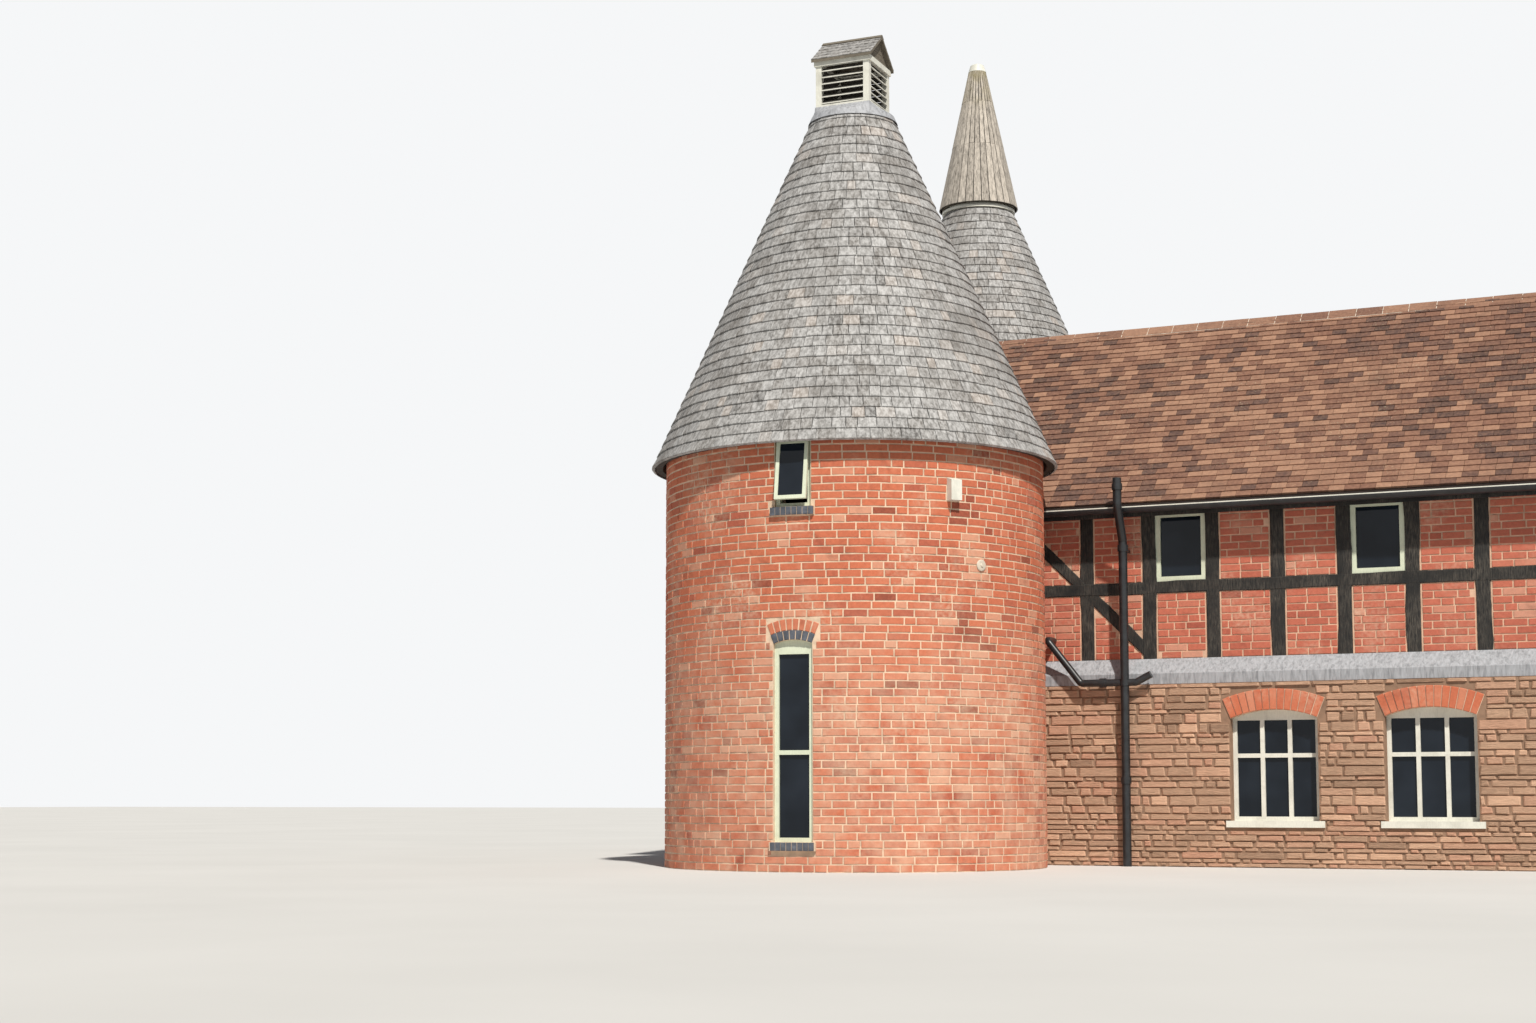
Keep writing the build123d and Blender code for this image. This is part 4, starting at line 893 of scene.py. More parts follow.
def kiln_tone(kiln):
    """Brick tones of a kiln: mostly orange, with the front kiln's few dark and pale bricks."""
    def tone(u, v, rng):
        bearing = math.degrees(u / kiln.wall_radius)
        value = clamp(rng.gauss(0.55, 0.22), 0.03, 0.95)
        if rng.random() < 0.02:
            value = PALEST
        if kiln is not FRONT_KILN:
            return value
        if abs(bearing - DARK_BEARING) < DARK_REACH:
            if any(low < v < high for low, high in DARK_HEIGHTS):
                value = DARKEST
        if abs(bearing - PLATE_BEARING) < PALE_REACH and abs(v - PLATE_HEIGHT) < PALE_HEIGHT:
            value = PALEST
        return value
    return tone


def make_kiln_bricks(kiln):
    """The wall's courses, and a second ring of bricks over the tall window's arch."""
    s = sizes()
    rng = random.Random(11 + KILNS.index(kiln))
    blocks = Blocks(kiln.on_wall(), BRICK_CHAMFER)
    around = 2 * math.pi * kiln.wall_radius
    seam = kiln.middle + math.pi * kiln.wall_radius
    holes = window_holes(kiln)
    lay_bricks(blocks, seam - around, seam, 0.0, kiln.wall_top, holes, rng, kiln_tone(kiln))
    lay_voussoirs(
        blocks, kiln.middle, RELIEF_ARCH, RELIEF_BRICKS, s.brick_proud, s.brick_joint, rng
    )
    blocks.build(f"{kiln.name}_kiln_bricks", "kiln_bricks", "kiln_brick")


def make_tie_plate():
    """The round limewashed plate at the end of an iron tie through the front kiln's wall."""
    place = FRONT_KILN.on_wall()
    middle = math.radians(PLATE_BEARING) * FRONT_KILN.wall_radius
    vertices = []
    for reach, height in PLATE_PROFILE:
        for side in range(PLATE_SIDES):
            turn = 2 * math.pi * side / PLATE_SIDES
            u = middle + PLATE_RADIUS * reach * math.cos(turn)
            v = PLATE_HEIGHT + PLATE_RADIUS * reach * math.sin(turn)
            vertices.append([float(value) for value in place(u, v, height)])
    faces = ring_quads(len(PLATE_PROFILE), PLATE_SIDES)
    faces.append(tuple(range(len(vertices) - PLATE_SIDES, len(vertices))))
    new_piece("kiln_tie_plate", vertices, faces, "render", "iron")


def make_kiln_voussoirs():
    """The blue bricks of the tall windows' arches."""
    rng = random.Random(13)
    for kiln in KILNS:
        blocks = Blocks(kiln.on_wall(), BRICK_CHAMFER)
        lay_voussoirs(blocks, kiln.middle, TALL_ARCH, TALL_BRICKS, TALL_FACE, TALL_JOINT, rng)
        blocks.build(f"{kiln.name}_kiln_voussoirs", "blue_brick", "blue_brick")


def make_kiln_sills():
    """Blue bricks on edge over the beds of the kilns' sills."""
    rng = random.Random(14)
    pitch = 2 * SILL_HALF / SILL_BRICKS
    for kiln in KILNS:
        radius = kiln.wall_radius + SILL_PROUD
        spread = radius / kiln.wall_radius
        middle = kiln.bearing * radius
        blocks = Blocks(kiln.on_wall(SILL_PROUD), BRICK_CHAMFER)
        for top in (kiln.wall_top - UPPER_DROP, TALL_SILL):
            for brick in range(SILL_BRICKS):
                left = middle - SILL_HALF * spread + brick * pitch * spread
                face = 0.006 + rng.uniform(-BRICK_WOBBLE, BRICK_WOBBLE)
                blocks.lay_bar(
                    left + 0.002, left + pitch * spread - 0.002,
                    top - SILL_HEIGHT + 0.001, top - 0.001, BED, face, rng.uniform(0.2, 0.9),
                )
        blocks.build(f"{kiln.name}_kiln_sill_bricks", "blue_brick", "blue_brick")


class OAST_OT_kiln_walls(bpy.types.Operator):
    """Lay the kilns' bricks over their mortar, with arches, blue-brick sills and the tie plate"""

    bl_idname = "oast.kiln_walls"
    bl_label = "Kiln walls"

    def execute(self, context):
        for kiln in KILNS:
            dress("lime_mortar", f"{kiln.name}_kiln_wall_1", f"{kiln.name}_kiln_wall_2")
            make_kiln_bricks(kiln)
        make_kiln_voussoirs()
        make_kiln_sills()
        make_tie_plate()
        dress("lime_mortar", "kiln_window_arches", "kiln_window_sills")
        return {"FINISHED"}


class OAST_OT_kiln_windows(bpy.types.Operator):
    """Paint the kilns' window frames and sashes and glaze them"""

    bl_idname = "oast.kiln_windows"
    bl_label = "Kiln windows"

    def execute(self, context):
        dress("window_paint", "kiln_window_frames", "kiln_window_sashes")
        dress("window_glass", "kiln_window_glass")
        dress("floor_boards", "kiln_floors", "kiln_wall_plates")
        dress("white_paint", "nest_box")
        return {"FINISHED"}


SHINGLE_WIDTHS = (0.65, 1.4)         # of single shingles, against the mean
SHINGLE_GAPS = (0.0015, 0.004)
SHINGLE_LAP = 1.25                   # a shingle's length, in courses
SHINGLE_DEPTH = 2.6                  # from the face down to the sarking, in thicknesses
SARKING_DEPTH = 0.1205               # the roof's thickness, measured level


def make_cone_shingles(kiln):
    """Shingles in courses round a conical roof, and the sarking that they are nailed to."""
    s = sizes()
    rng = random.Random(21 + KILNS.index(kiln))
    thickness = s.shingle_thickness
    under = -SHINGLE_DEPTH * thickness
    blocks = Blocks(kiln.place, SHINGLE_CHAMFER)
    courses = round(kiln.slant / s.shingle_gauge)
    gauge = kiln.slant / courses
    for course in range(-1, courses):
        start = max(course, 0) * gauge
        radius = kiln.radius(start)
        sunk = thickness if course < 0 else 0.0
        angle = rng.uniform(0, 1)
        end = angle + 2 * math.pi
        while angle < end - 0.02:
            width = min(s.shingle_width * rng.uniform(*SHINGLE_WIDTHS) / radius, end - angle)
            gap = rng.uniform(*SHINGLE_GAPS) / radius
            tail = start + rng.uniform(-0.004, 0.006) if course > 0 else start
            head = min(start + gauge * SHINGLE_LAP, kiln.slant)
            lift = -sunk - rng.uniform(0.0, 0.003)
            back = lift - 1.2 * thickness
            tone = clamp(rng.gauss(0.56, 0.24))
            left, right = angle + gap, angle + width - gap
            blocks.lay_bar(left, right, tail, head, under, (lift, lift, back, back), tone)
            angle += width
    shingles = blocks.build(f"{kiln.name}_kiln_shingles", "shingles", "shingles")
    sunk = -under / math.sin(kiln.pitch)
    profile = [
        (kiln.foot_radius - SARKING_DEPTH, kiln.foot), (kiln.foot_radius - sunk, kiln.foot),
        (kiln.top_radius - sunk, kiln.top), (kiln.top_radius - SARKING_DEPTH, kiln.top),
    ]
    lathe(f"{kiln.name}_kiln_sarking", profile, kiln.centre, "shingle_underside", "shingles")
    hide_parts(f"{kiln.name}_kiln_roof")


class OAST_OT_kiln_roofs(bpy.types.Operator):
    """Shingle both conical roofs"""

    bl_idname = "oast.kiln_roofs"
    bl_label = "Kiln roofs"

    def execute(self, context):
        for kiln in KILNS:
            make_cone_shingles(kiln)
        return {"FINISHED"}


VENT_TURN = math.radians(1.0)
VENT_SPREAD = math.cos(VENT_TURN) + math.sin(VENT_TURN)
VENT_POST = 0.068
VENT_ROOF_PITCH = math.radians(38.5)
VENT_SLAB = 0.028                    # thickness of the vent's roof
VENT_SIDES = ("front", "right", "rear", "left")
VENT_COURSES = 5
VENT_SHINGLES = (0.07, 0.13)         # narrowest and widest
VENT_LAP = 1.2
VENT_RIDGE = 0.055                   # width of a ridge board
SLAT_EDGE = 0.011                    # height of a slat's outer edge
SLAT_BACK, SLAT_FACE = -0.014, -0.001
GABLE_BOARDS = 5
GABLE_BACK = -0.015


def turned_half(node):
    """Half the side of a square node, whose box is wider because the vent is turned."""
    low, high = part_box(node)
    return (high.x - low.x) / 2 / VENT_SPREAD


def vent_plane(number, distance, height=0.0, pitch=math.pi / 2):
    """A plane over one side of the vent, upright or leaning in from its foot."""
    bearing = VENT_TURN + (number - 1) * math.pi / 2
    out = Vector((math.cos(bearing), math.sin(bearing), 0))
    up = Vector((0, 0, math.sin(pitch))) - out * math.cos(pitch)
    origin = Vector((*FRONT_KILN.centre, height)) + out * distance
    return on_plane(origin, (-out.y, out.x, 0), up)


def make_slat_edges():
    """The slats' painted outer edges, which catch the light."""
    half = turned_half("vent_frame")
    reach = half - VENT_POST
    levels = sorted({round(low.z, 3) for low, _ in solid_boxes("vent_louvres")})
    for number, name in enumerate(VENT_SIDES):
        blocks = Blocks(vent_plane(number, half), EDGE_CHAMFER)
        for level in levels:
            blocks.lay_bar(-reach, reach, level, level + SLAT_EDGE, SLAT_BACK, SLAT_FACE, 0.5)
        blocks.build(f"vent_slat_edges_{name}", "vent_paint", "vent_paint")


def make_vent_gables():
    """Boards that close the two ends under the vent's roof."""
    half = turned_half("vent_frame")
    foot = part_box("vent_head_boards")[1].z
    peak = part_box("vent_roof")[1].z - VENT_SLAB / math.cos(VENT_ROOF_PITCH)
    rise = (peak - foot) / GABLE_BOARDS
    lean = math.tan(VENT_ROOF_PITCH)
    for number in (1, 3):
        blocks = Blocks(vent_plane(number, half - 0.01), VENT_CHAMFER)
        for board in range(GABLE_BOARDS):
            bottom, top = foot + rise * board, foot + rise * (board + 1)
            wide, narrow = (min((peak - v) / lean, half) for v in (bottom, top))
            head = top - 0.003
            corners = ((-wide, bottom), (wide, bottom), (narrow, head), (-narrow, head))
            blocks.lay(corners, GABLE_BACK, 0.004 - 0.001 * (board % 2), 0.4)
        blocks.build(f"vent_gable_{VENT_SIDES[number]}", "cowl_wood", "vent_paint")


def make_vent_shingles():
    """Small shingles in courses on both slopes of the vent's roof, under pale ridge boards."""
    rng = random.Random(25)
    reach = turned_half("vent_roof")
    slant = reach / math.cos(VENT_ROOF_PITCH)
    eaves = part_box("vent_roof")[1].z - reach * math.tan(VENT_ROOF_PITCH)
    gauge = slant / VENT_COURSES
    for number in (0, 2):
        place = vent_plane(number, reach, eaves, VENT_ROOF_PITCH)
        blocks = Blocks(place, VENT_CHAMFER)
        for course in range(VENT_COURSES):
            foot = course * gauge
            head = min(foot + gauge * VENT_LAP, slant)
            u = -reach
            while u < reach - 0.01:
                end = min(u + rng.uniform(*VENT_SHINGLES), reach)
                lift = 0.009 + rng.uniform(-0.001, 0.001)
                face = (lift, lift, 0.001, 0.001)
                blocks.lay_bar(u + 0.001, end - 0.001, foot, head, BED, face, rng.uniform(0.0, 0.5))
                u = end
        blocks.build(f"vent_shingles_{VENT_SIDES[number]}", "shingles", "vent_tile")
        ridge = Blocks(place, VENT_CHAMFER)
        ridge.lay_bar(-reach, reach, slant - VENT_RIDGE, slant + 0.004, BED, 0.017, 0.9)
        ridge.build(f"vent_ridge_{VENT_SIDES[number]}", "cowl_wood", "vent_tile")


class OAST_OT_vent(bpy.types.Operator):
    """Paint the louvred vent and lay its roof"""

    bl_idname = "oast.vent"
    bl_label = "Louvred vent"

    def execute(self, context):
        dress("vent_paint", "vent_frame", "vent_head_boards")
        # The slats are dark as painted shade; white strips for their lit edges are laid on below
        dress("old_slats", "vent_louvres")
        dress("cowl_wood", "vent_roof")
        make_slat_edges()
        make_vent_gables()
        make_vent_shingles()
        return {"FINISHED"}


BOARD_COUNT = 30
BOARD_JOINTS = (0.0, 0.442, 0.770, 1.0)          # where tiers of boards meet, up the slope
BOARD_CUTS = 24                      # short lengths of a board that the mouth trims
MOUTH_BEARING = math.pi / 2
MOUTH_HALF = 0.300
MOUTH_FOOT = 0.170
MOUTH_SPRING = 0.950


class Cowl(Cone):
    """The turning cowl's boards, and the mouth that is cut in them."""

    def __init__(self):
        low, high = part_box("cowl_shell")
        super().__init__("cowl_shell", ((low.x + high.x) / 2, REAR_KILN.centre[1]))

    def mouth_reach(self, v):
        """Half the angle that the mouth takes at a distance up the slope."""
        height = v * math.sin(self.pitch)
        if height < MOUTH_FOOT or height > MOUTH_SPRING + MOUTH_HALF:
            return 0.0
        above = max(0.0, height - MOUTH_SPRING)
        half = math.sqrt(max(0.0, MOUTH_HALF**2 - above**2))
        return math.asin(min(1.0, half / self.radius(v)))


COWL = Cowl()


def lay_cowl_board(blocks, left, right, low, high, lift, tone):
    """One board, cut into short lengths where the mouth trims it."""
    nearest = min(abs(left - MOUTH_BEARING), abs(right - MOUTH_BEARING))
    near_mouth = nearest < COWL.mouth_reach(MOUTH_SPRING)
    lengths = BOARD_CUTS if near_mouth else 1
    before = right <= MOUTH_BEARING + 0.01
    for number in range(lengths):
        corners = []
        for joint in (number, number + 1):
            v = low + (high - low) * joint / lengths
            reach = COWL.mouth_reach(v)
            start, end = left, right
            if near_mouth and reach and before:
                end = min(end, MOUTH_BEARING - reach)
            elif near_mouth and reach:
                start = max(start, MOUTH_BEARING + reach)
            corners.append((start, end, v))
        (a, b, foot), (c, d, head) = corners
        if b - a > 0.004 and d - c > 0.004:
            blocks.lay(((a, foot), (b, foot), (d, head), (c, head)), BED, lift, tone)


def make_cowl_boards():
    """Upright tapered boards in three tiers, each tier lapped over the one below."""
    rng = random.Random(27)
    blocks = Blocks(COWL.place, BOARD_CHAMFER)
    turn = 2 * math.pi / BOARD_COUNT
    gap = sizes().board_gap / 2
    for tier, (start, end) in enumerate(zip(BOARD_JOINTS, BOARD_JOINTS[1:])):
        for board in range(BOARD_COUNT):
            left = (board + 0.5) * turn
            low = COWL.slant * start + (rng.uniform(-0.012, 0.004) if tier else 0.0)
            slack = gap / COWL.radius(COWL.slant * start)
            lift = 0.004 + 0.002 * tier + rng.uniform(-0.001, 0.001)
            tone = rng.choice((0.15, 0.35, 0.55, 0.75, 0.95)) + rng.uniform(-0.08, 0.05)
            high = COWL.slant * end
            lay_cowl_board(blocks, left + slack, left + turn - slack, low, high, lift, tone)
    blocks.build("cowl_boards", "cowl_boards", "pale_timber", "cowl")


class OAST_OT_cowl(bpy.types.Operator):
    """Board the turning cowl and finish its curb, spindle and cap"""

    bl_idname = "oast.cowl"
    bl_label = "Turning cowl"

    def execute(self, context):
        # The shell under the boards is near-black: painted shade that shows in the gaps between them
        dress("cowl_backing", "cowl_shell")
        make_cowl_boards()
        dress("cowl_wood", "cowl_frame", "spindle_beam")
        dress("white_paint", "kiln_curb", "cowl_cap")
        dress("black_iron", "cowl_spindle")
        return {"FINISHED"}


STONE_ARCH_RISE = 0.09
STONE_RISES = (0.6, 0.75, 0.9, 1.0, 1.15, 1.45)          # of single beds, against the mean
STONE_LENGTHS = (0.4, 0.6, 0.8, 1.0, 1.3, 1.7)           # of single stones, against the mean
LEAST_STONE = 0.03
STONE_JOINT = 0.006
STONE_BACK = -0.01
STONE_PROUD = (0.010, 0.024)
STONE_ARCH_BRICKS = 13
STONE_ARCH_FACE, STONE_ARCH_JOINT = 0.014, 0.011


def stone_arches(side):
    """Each brick arch on a side: its middle, and its half width, spring, rise and height."""
    crown = max((top for *_, top in side.holes("stone_window_arches")), default=0.0)
    arches = []
    for left, right, _, top in side.holes("stone_window_frames"):
        arch = ((right - left) / 2, top - STONE_ARCH_RISE, STONE_ARCH_RISE, crown - top)
        arches.append(((left + right) / 2, arch))
    return arches


def make_rubble(side):
    """Thin-bedded rubble in rows of uneven height over the stone wall's face."""
    s = sizes()
    rng = side.draws(31)
    blocks = Blocks(side.place(side.stone), STONE_CHAMFER)
    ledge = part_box("lead_ledges")[0].z
    holes = side.holes("stone_window_sills", 0.006)
    for left, right, bottom, top in side.holes("stone_window_frames"):
        holes.append((left - 0.002, right + 0.002, bottom, top - STONE_ARCH_RISE))
    for middle, arch in stone_arches(side):
        holes += arch_holes(middle, arch, 10, 0.02, 0.008)
    bottom = 0.004
    while bottom < ledge - LEAST_STONE:
        rise = min(s.stone_height * rng.choice(STONE_RISES), ledge - bottom)
        if ledge - bottom - rise < LEAST_STONE:
            rise = ledge - bottom
        top = bottom + rise
        row_holes = holes + kiln_holes(side, side.stone, bottom, bottom, top)
        low, high = bottom + 0.01, top - 0.01
        for run_left, run_right in cut_run(side.left, side.end, low, high, row_holes):
            u = run_left - rng.uniform(0, 0.1)
            while u < run_right - LEAST_STONE:
                size = s.stone_length * rng.choice(STONE_LENGTHS) * rng.uniform(0.85, 1.15)
                a, b = max(u, run_left), min(u + size, run_right)
                if run_right - b < 0.07:
                    b = run_right
                if b - a > LEAST_STONE:
                    lay_stone(blocks, a, b, bottom, top, rng)
                u = b if b > u else u + size
        bottom = top
    blocks.build(f"{side.name}_rubble", "sandstone", "sandstone")


def lay_stone(blocks, left, right, bottom, top, rng):
    """One stone, its corners wandering inside its place."""
    left, right = left + STONE_JOINT, right - STONE_JOINT
    bottom, top = bottom + STONE_JOINT * 0.6, top - STONE_JOINT * 0.6
    wobble = min(0.009, (top - bottom + STONE_JOINT * 1.2) * 0.1)
    corners = [
        (left + rng.uniform(0, 0.012), bottom + rng.uniform(0, wobble)),
        (right - rng.uniform(0, 0.012), bottom + rng.uniform(0, wobble)),
        (right - rng.uniform(0, 0.018), top - rng.uniform(0, wobble)),
        (left + rng.uniform(0, 0.018), top - rng.uniform(0, wobble)),
    ]
    proud = rng.uniform(*STONE_PROUD)
    face = [proud + rng.uniform(-0.004, 0.003) for _ in corners]
    blocks.lay(corners, STONE_BACK, face, clamp(rng.gauss(0.55, 0.27)))


def make_stone_voussoirs(side):
    """The brick arches over the stone storey's windows."""
    rng = side.draws(41)
    blocks = Blocks(side.place(side.stone), BRICK_CHAMFER)
    brick = (STONE_ARCH_BRICKS, STONE_ARCH_FACE, STONE_ARCH_JOINT)
    for middle, arch in stone_arches(side):
        lay_voussoirs(blocks, middle, arch, *brick, rng)
    blocks.build(f"{side.name}_stone_voussoirs", "arch_bricks", "arch_brick")


class OAST_OT_stonework(bpy.types.Operator):
    """Lay the rubble of the lower storey with its brick arches"""

    bl_idname = "oast.stonework"
    bl_label = "Stonework"

    def execute(self, context):
        for side in SIDES:
            dress("stone_mortar", f"{side.name}_stone_wall")
            make_rubble(side)
            make_stone_voussoirs(side)
        dress("lime_mortar", "stone_window_arches")
        dress("white_paint", "stone_window_sills", "stone_window_frames")
        dress("window_glass", "stone_window_glass")
        return {"FINISHED"}


STUD_WIDTH = 0.145
STUD_HEAD = 3.935
GABLE_STUDS = (-1.065, -0.355, 0.355, 1.065)
BAYS = 12
RAIL_FOOT, RAIL_MIDDLE, RAIL_HEAD = 3.0, 3.065, 3.13
PLATE_FOOT, PLATE_MIDDLE = 3.90, 3.985                   # the wall plate, under the eaves
GABLE_PANEL_DROP, GABLE_STUD_DROP = 0.30, 0.36           # below the ridge, and level inwards
PANEL_FOOT, STUD_FOOT = 0.175, 0.176                     # above the first floor
STUD_FORM = (STUD_WIDTH, 0.013, 0.3)                     # width, waviness and tone
GABLE_STUD_FORM = (STUD_WIDTH, 0.009, 0.3)
RAIL_WAVE, RAIL_TONE = 0.007, 0.45
GABLE_RAILS = (                      # middle's height, half length and width of each
    (RAIL_MIDDLE, 2.09, 0.13), (PLATE_MIDDLE, 2.09, 0.13), (5.22, 0.95, 0.135),
)
BRACE_HEAD = 3.74
BRACE_FOOT = 2.33
BRACE_WIDTH = 0.12
BRACE_FORM = (BRACE_WIDTH, 0.011, 0.8)
PANEL_RECESS = 0.008
EDGE_JOINT = 0.012
POST_COVER = 0.042


def studs(side):
    """Middles of the side's regular studs, from the first to the last."""
    if side not in LONG_SIDES:
        return GABLE_STUDS
    windows = sorted((left + right) / 2 for left, right, *_ in side.holes("casement_frames"))
    pitch = (windows[1] - windows[0]) / 3
    first = windows[0] - (2.5 if side is FRONT else 0.5) * pitch
    return [first + number * pitch for number in range(BAYS + 1)]


def brace_line(side):
    """The brace's two ends: at the first stud by the kiln above, two studs on below."""
    posts = studs(side)
    if side is REAR:
        posts = posts[::-1]
    return (posts[0], BRACE_HEAD), (posts[2], BRACE_FOOT)


def brace_cut(side):
    """A function that gives the brace's stretch at a course's heights."""
    (head_u, head_v), (foot_u, foot_v) = brace_line(side)
    lean = (foot_u - head_u) / (foot_v - head_v)
    half = BRACE_WIDTH / 2 * math.hypot(1, lean) + EDGE_JOINT

    def cut(low, high):
        if low > head_v + 0.1 or high < foot_v - 0.1:
            return []
        here = sorted((head_u + (low - head_v) * lean, head_u + (high - head_v) * lean))
        return [(here[0] - half * 0.8, here[1] + half * 0.8, low, high)]
    return cut


def panel_tone(u, v, rng):
    value = clamp(rng.gauss(0.58, 0.19), 0.05, 0.95)
    return 0.97 if rng.random() < 0.01 else value


def make_panel_bricks(side):
    """Bricks between the studs and rails, clear of the windows, the brace and the kiln."""
    blocks = Blocks(side.place(side.timber - PANEL_RECESS), PANEL_CHAMFER)
    half = STUD_WIDTH / 2 + EDGE_JOINT
    holes = side.holes("casement_frames", 0.004)
    holes += [(stud - half, stud + half, 0, FAR) for stud in studs(side)]
    left, right, top = side.timber_left, side.timber_end, PLATE_FOOT
    if side in LONG_SIDES:
        brace = brace_cut(side)
    else:
        panels = side.holes("brick_panels", -POST_COVER)
        left, right = min(panel[0] for panel in panels), max(panel[1] for panel in panels)
        top = RIDGE_HEIGHT - GABLE_PANEL_DROP

    def cuts(low, high):
        if side in LONG_SIDES:
            return brace(low, high) + kiln_holes(side, side.timber, low, low, high)
        if high <= PLATE_FOOT:
            return []
        reach = top - high
        return [(-FAR, -reach, low, high), (reach, FAR, low, high)]

    rng = side.draws(51)
    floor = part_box("first_floor")[1].z + PANEL_FOOT
    for foot, head in ((floor, RAIL_FOOT), (RAIL_HEAD, top)):
        lay_bricks(blocks, left, right, foot, head, holes, rng, panel_tone, 0.12, cuts)
    blocks.build(f"{side.name}_panel_bricks", "panel_bricks", "panel_brick")


HEWN_STEP = 0.09
HEWN_BACK = -0.006
HEWN_BEVEL = 0.007


def wavy_strip(place, start, end, width, wave, face, rng, base):
    """Points and faces of one hewn timber's outer side, its edges wandering."""
    length = math.dist(start, end)
    steps = max(2, round(length / HEWN_STEP))
    along = ((end[0] - start[0]) / length, (end[1] - start[1]) / length)
    across = (along[1], -along[0])
    phases = [rng.uniform(0, 6.28) for _ in range(4)]
    vertices = []
    for step in range(steps + 1):
        t = step / steps
        at = (start[0] + along[0] * length * t, start[1] + along[1] * length * t)
        drift = wave * 0.5 * math.sin(phases[0] + 3.1 * length * t)
        swell = wave * 0.6 * math.sin(phases[1] + 5.3 * length * t) + rng.uniform(-0.3, 0.3) * wave
        other = wave * 0.6 * math.sin(phases[2] + 4.4 * length * t) + rng.uniform(-0.3, 0.3) * wave
        left, right = -width / 2 - swell + drift, width / 2 + other + drift
        lift = face + 0.002 * math.sin(phases[3] + 6.0 * length * t)
        profile = (
            (left, HEWN_BACK), (left, lift - 0.005), (left + HEWN_BEVEL, lift),
            (right - HEWN_BEVEL, lift), (right, lift - 0.005), (right, HEWN_BACK),
        )
        vertices += [place(at[0] + across[0] * e, at[1] + across[1] * e, w) for e, w in profile]
    last = base + steps * 6
    ends = [tuple(range(base + 5, base - 1, -1)), tuple(range(last, last + 6))]
    return vertices, ring_quads(steps + 1, 6, base, closed=False) + ends


def make_timber_faces(side):
    """Hewn faces over the studs, rails, plate and brace, proud of the sawn frame behind."""
    rng = side.draws(61)
    place = side.place(side.timber)
    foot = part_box("first_floor")[1].z + STUD_FOOT
    if side in LONG_SIDES:
        left, right = side.timber_left + 0.01, side.timber_end - 0.01
        hole = kiln_holes(side, side.timber, RAIL_FOOT, 0, FAR, 0.01)[0]
        if side is FRONT:
            left = hole[1]
        else:
            right = hole[0]
        rails = [(RAIL_MIDDLE, left, right, 0.13)]
        lines = [((u, foot), (u, STUD_HEAD), *STUD_FORM) for u in studs(side)]
        lines.append((*brace_line(side), *BRACE_FORM))
    else:
        rails = [(height, -half, half, width) for height, half, width in GABLE_RAILS]
        head = RIDGE_HEIGHT - GABLE_STUD_DROP
        lines = [((u, foot), (u, head - abs(u)), *GABLE_STUD_FORM) for u in studs(side)]
    for height, start, end, width in rails:
        lines.append(((start, height), (end, height), width, RAIL_WAVE, RAIL_TONE))
    vertices, faces, tints = [], [], []
    for number, (start, end, width, wave, tint) in enumerate(lines):
        face = 0.004 + 0.0013 * (number % 3)
        points, quads = wavy_strip(place, start, end, width, wave, face, rng, len(vertices))
        vertices += points
        faces += quads
        tints += [tint] * len(quads)
    name = f"{side.name}_hewn_faces"
    new_piece(name, vertices, faces, "black_timber", "black_timber", tint=tints)


class OAST_OT_timber_storey(bpy.types.Operator):
    """Finish the timber frame and its brick panels"""

    bl_idname = "oast.timber_storey"
    bl_label = "Timber storey"

    def execute(self, context):
        for side in SIDES:
            dress("black_timber", side.frame_node)
            make_panel_bricks(side)
            make_timber_faces(side)
        dress("panel_mortar", "brick_panels")
        dress("window_paint", "casement_frames")
        dress("window_glass", "casement_glass")
        dress("floor_boards", "first_floor")
        dress("floor_flags", "ground_floor")
        return {"FINISHED"}


ROOF_LOW, ROOF_HIGH = span("front_roof_slope", "rear_roof_slope")
RIDGE_HEIGHT = ROOF_HIGH.z
EAVES_TOP = RIDGE_HEIGHT - ROOF_HIGH.y
DIAGONAL = math.sqrt(2)              # slope against rise, for the roof stands at 45 degrees


def slope_place(side):
    """u along the eaves, v up the slope and w square to it."""
    origin = side.out * ROOF_HIGH.y + Vector((0, 0, EAVES_TOP))
    return on_plane(origin, side.right, Vector((0, 0, 1)) - side.out)


def sag(u, v):
    """The roof's old surface: how far it swells above the straight one."""
    return 0.004 + 0.003 * math.sin(0.9 * u + 1.3 * v) + 0.002 * math.sin(2.3 * u - 2.0 * v + 1)


def tile_patches(u, v, rng):
    """Tone of a tile: redder and darker by patches, with single pale or dark ones."""
    value = 0.58 + 0.10 * math.sin(1.1 * u + 0.7 * v) + 0.07 * math.sin(2.9 * u - 3.1 * v + 2)
    value += rng.gauss(0, 0.23)
    chance = rng.random()
    if chance < 0.05:
        value = rng.uniform(0.05, 0.25)
    elif chance > 0.95:
        value = rng.uniform(0.9, 1.0)
    return clamp(value)


def make_slope_tiles(side):
    """Clay tiles in courses up one slope, clear of the kiln's roof."""
    s = sizes()
    rng = side.draws(71)
    blocks = Blocks(slope_place(side), SHINGLE_CHAMFER)
    slant = ROOF_HIGH.y * DIAGONAL
    courses = round(slant / s.tile_gauge)
    gauge = slant / courses
    ends = stretch(ROOF_LOW, ROOF_HIGH, side.right)

    def draw_width():
        return s.tile_width * rng.uniform(0.97, 1.03)

    for course in range(courses):
        low = course * gauge
        high = min(low + gauge + 0.02, slant - 0.015)
        rise = low / DIAGONAL
        holes = []
        for up in (rise, rise + gauge / DIAGONAL):
            holes += kiln_holes(side, ROOF_HIGH.y - up, EAVES_TOP + up, low, high, 0.004)
        for run_left, run_right in cut_run(*ends, low, high, holes):
            start = run_left - (course % 2) * s.tile_width / 2 + rng.uniform(-0.006, 0.006)
            for a, b in along_row(run_left, run_right, start, draw_width):
                if b - a > 0.02:
                    lay_tile(blocks, a, b, low, high, course, rng)
    blocks.build(f"{side.name}_tiles", "clay_tiles", "clay_tiles")


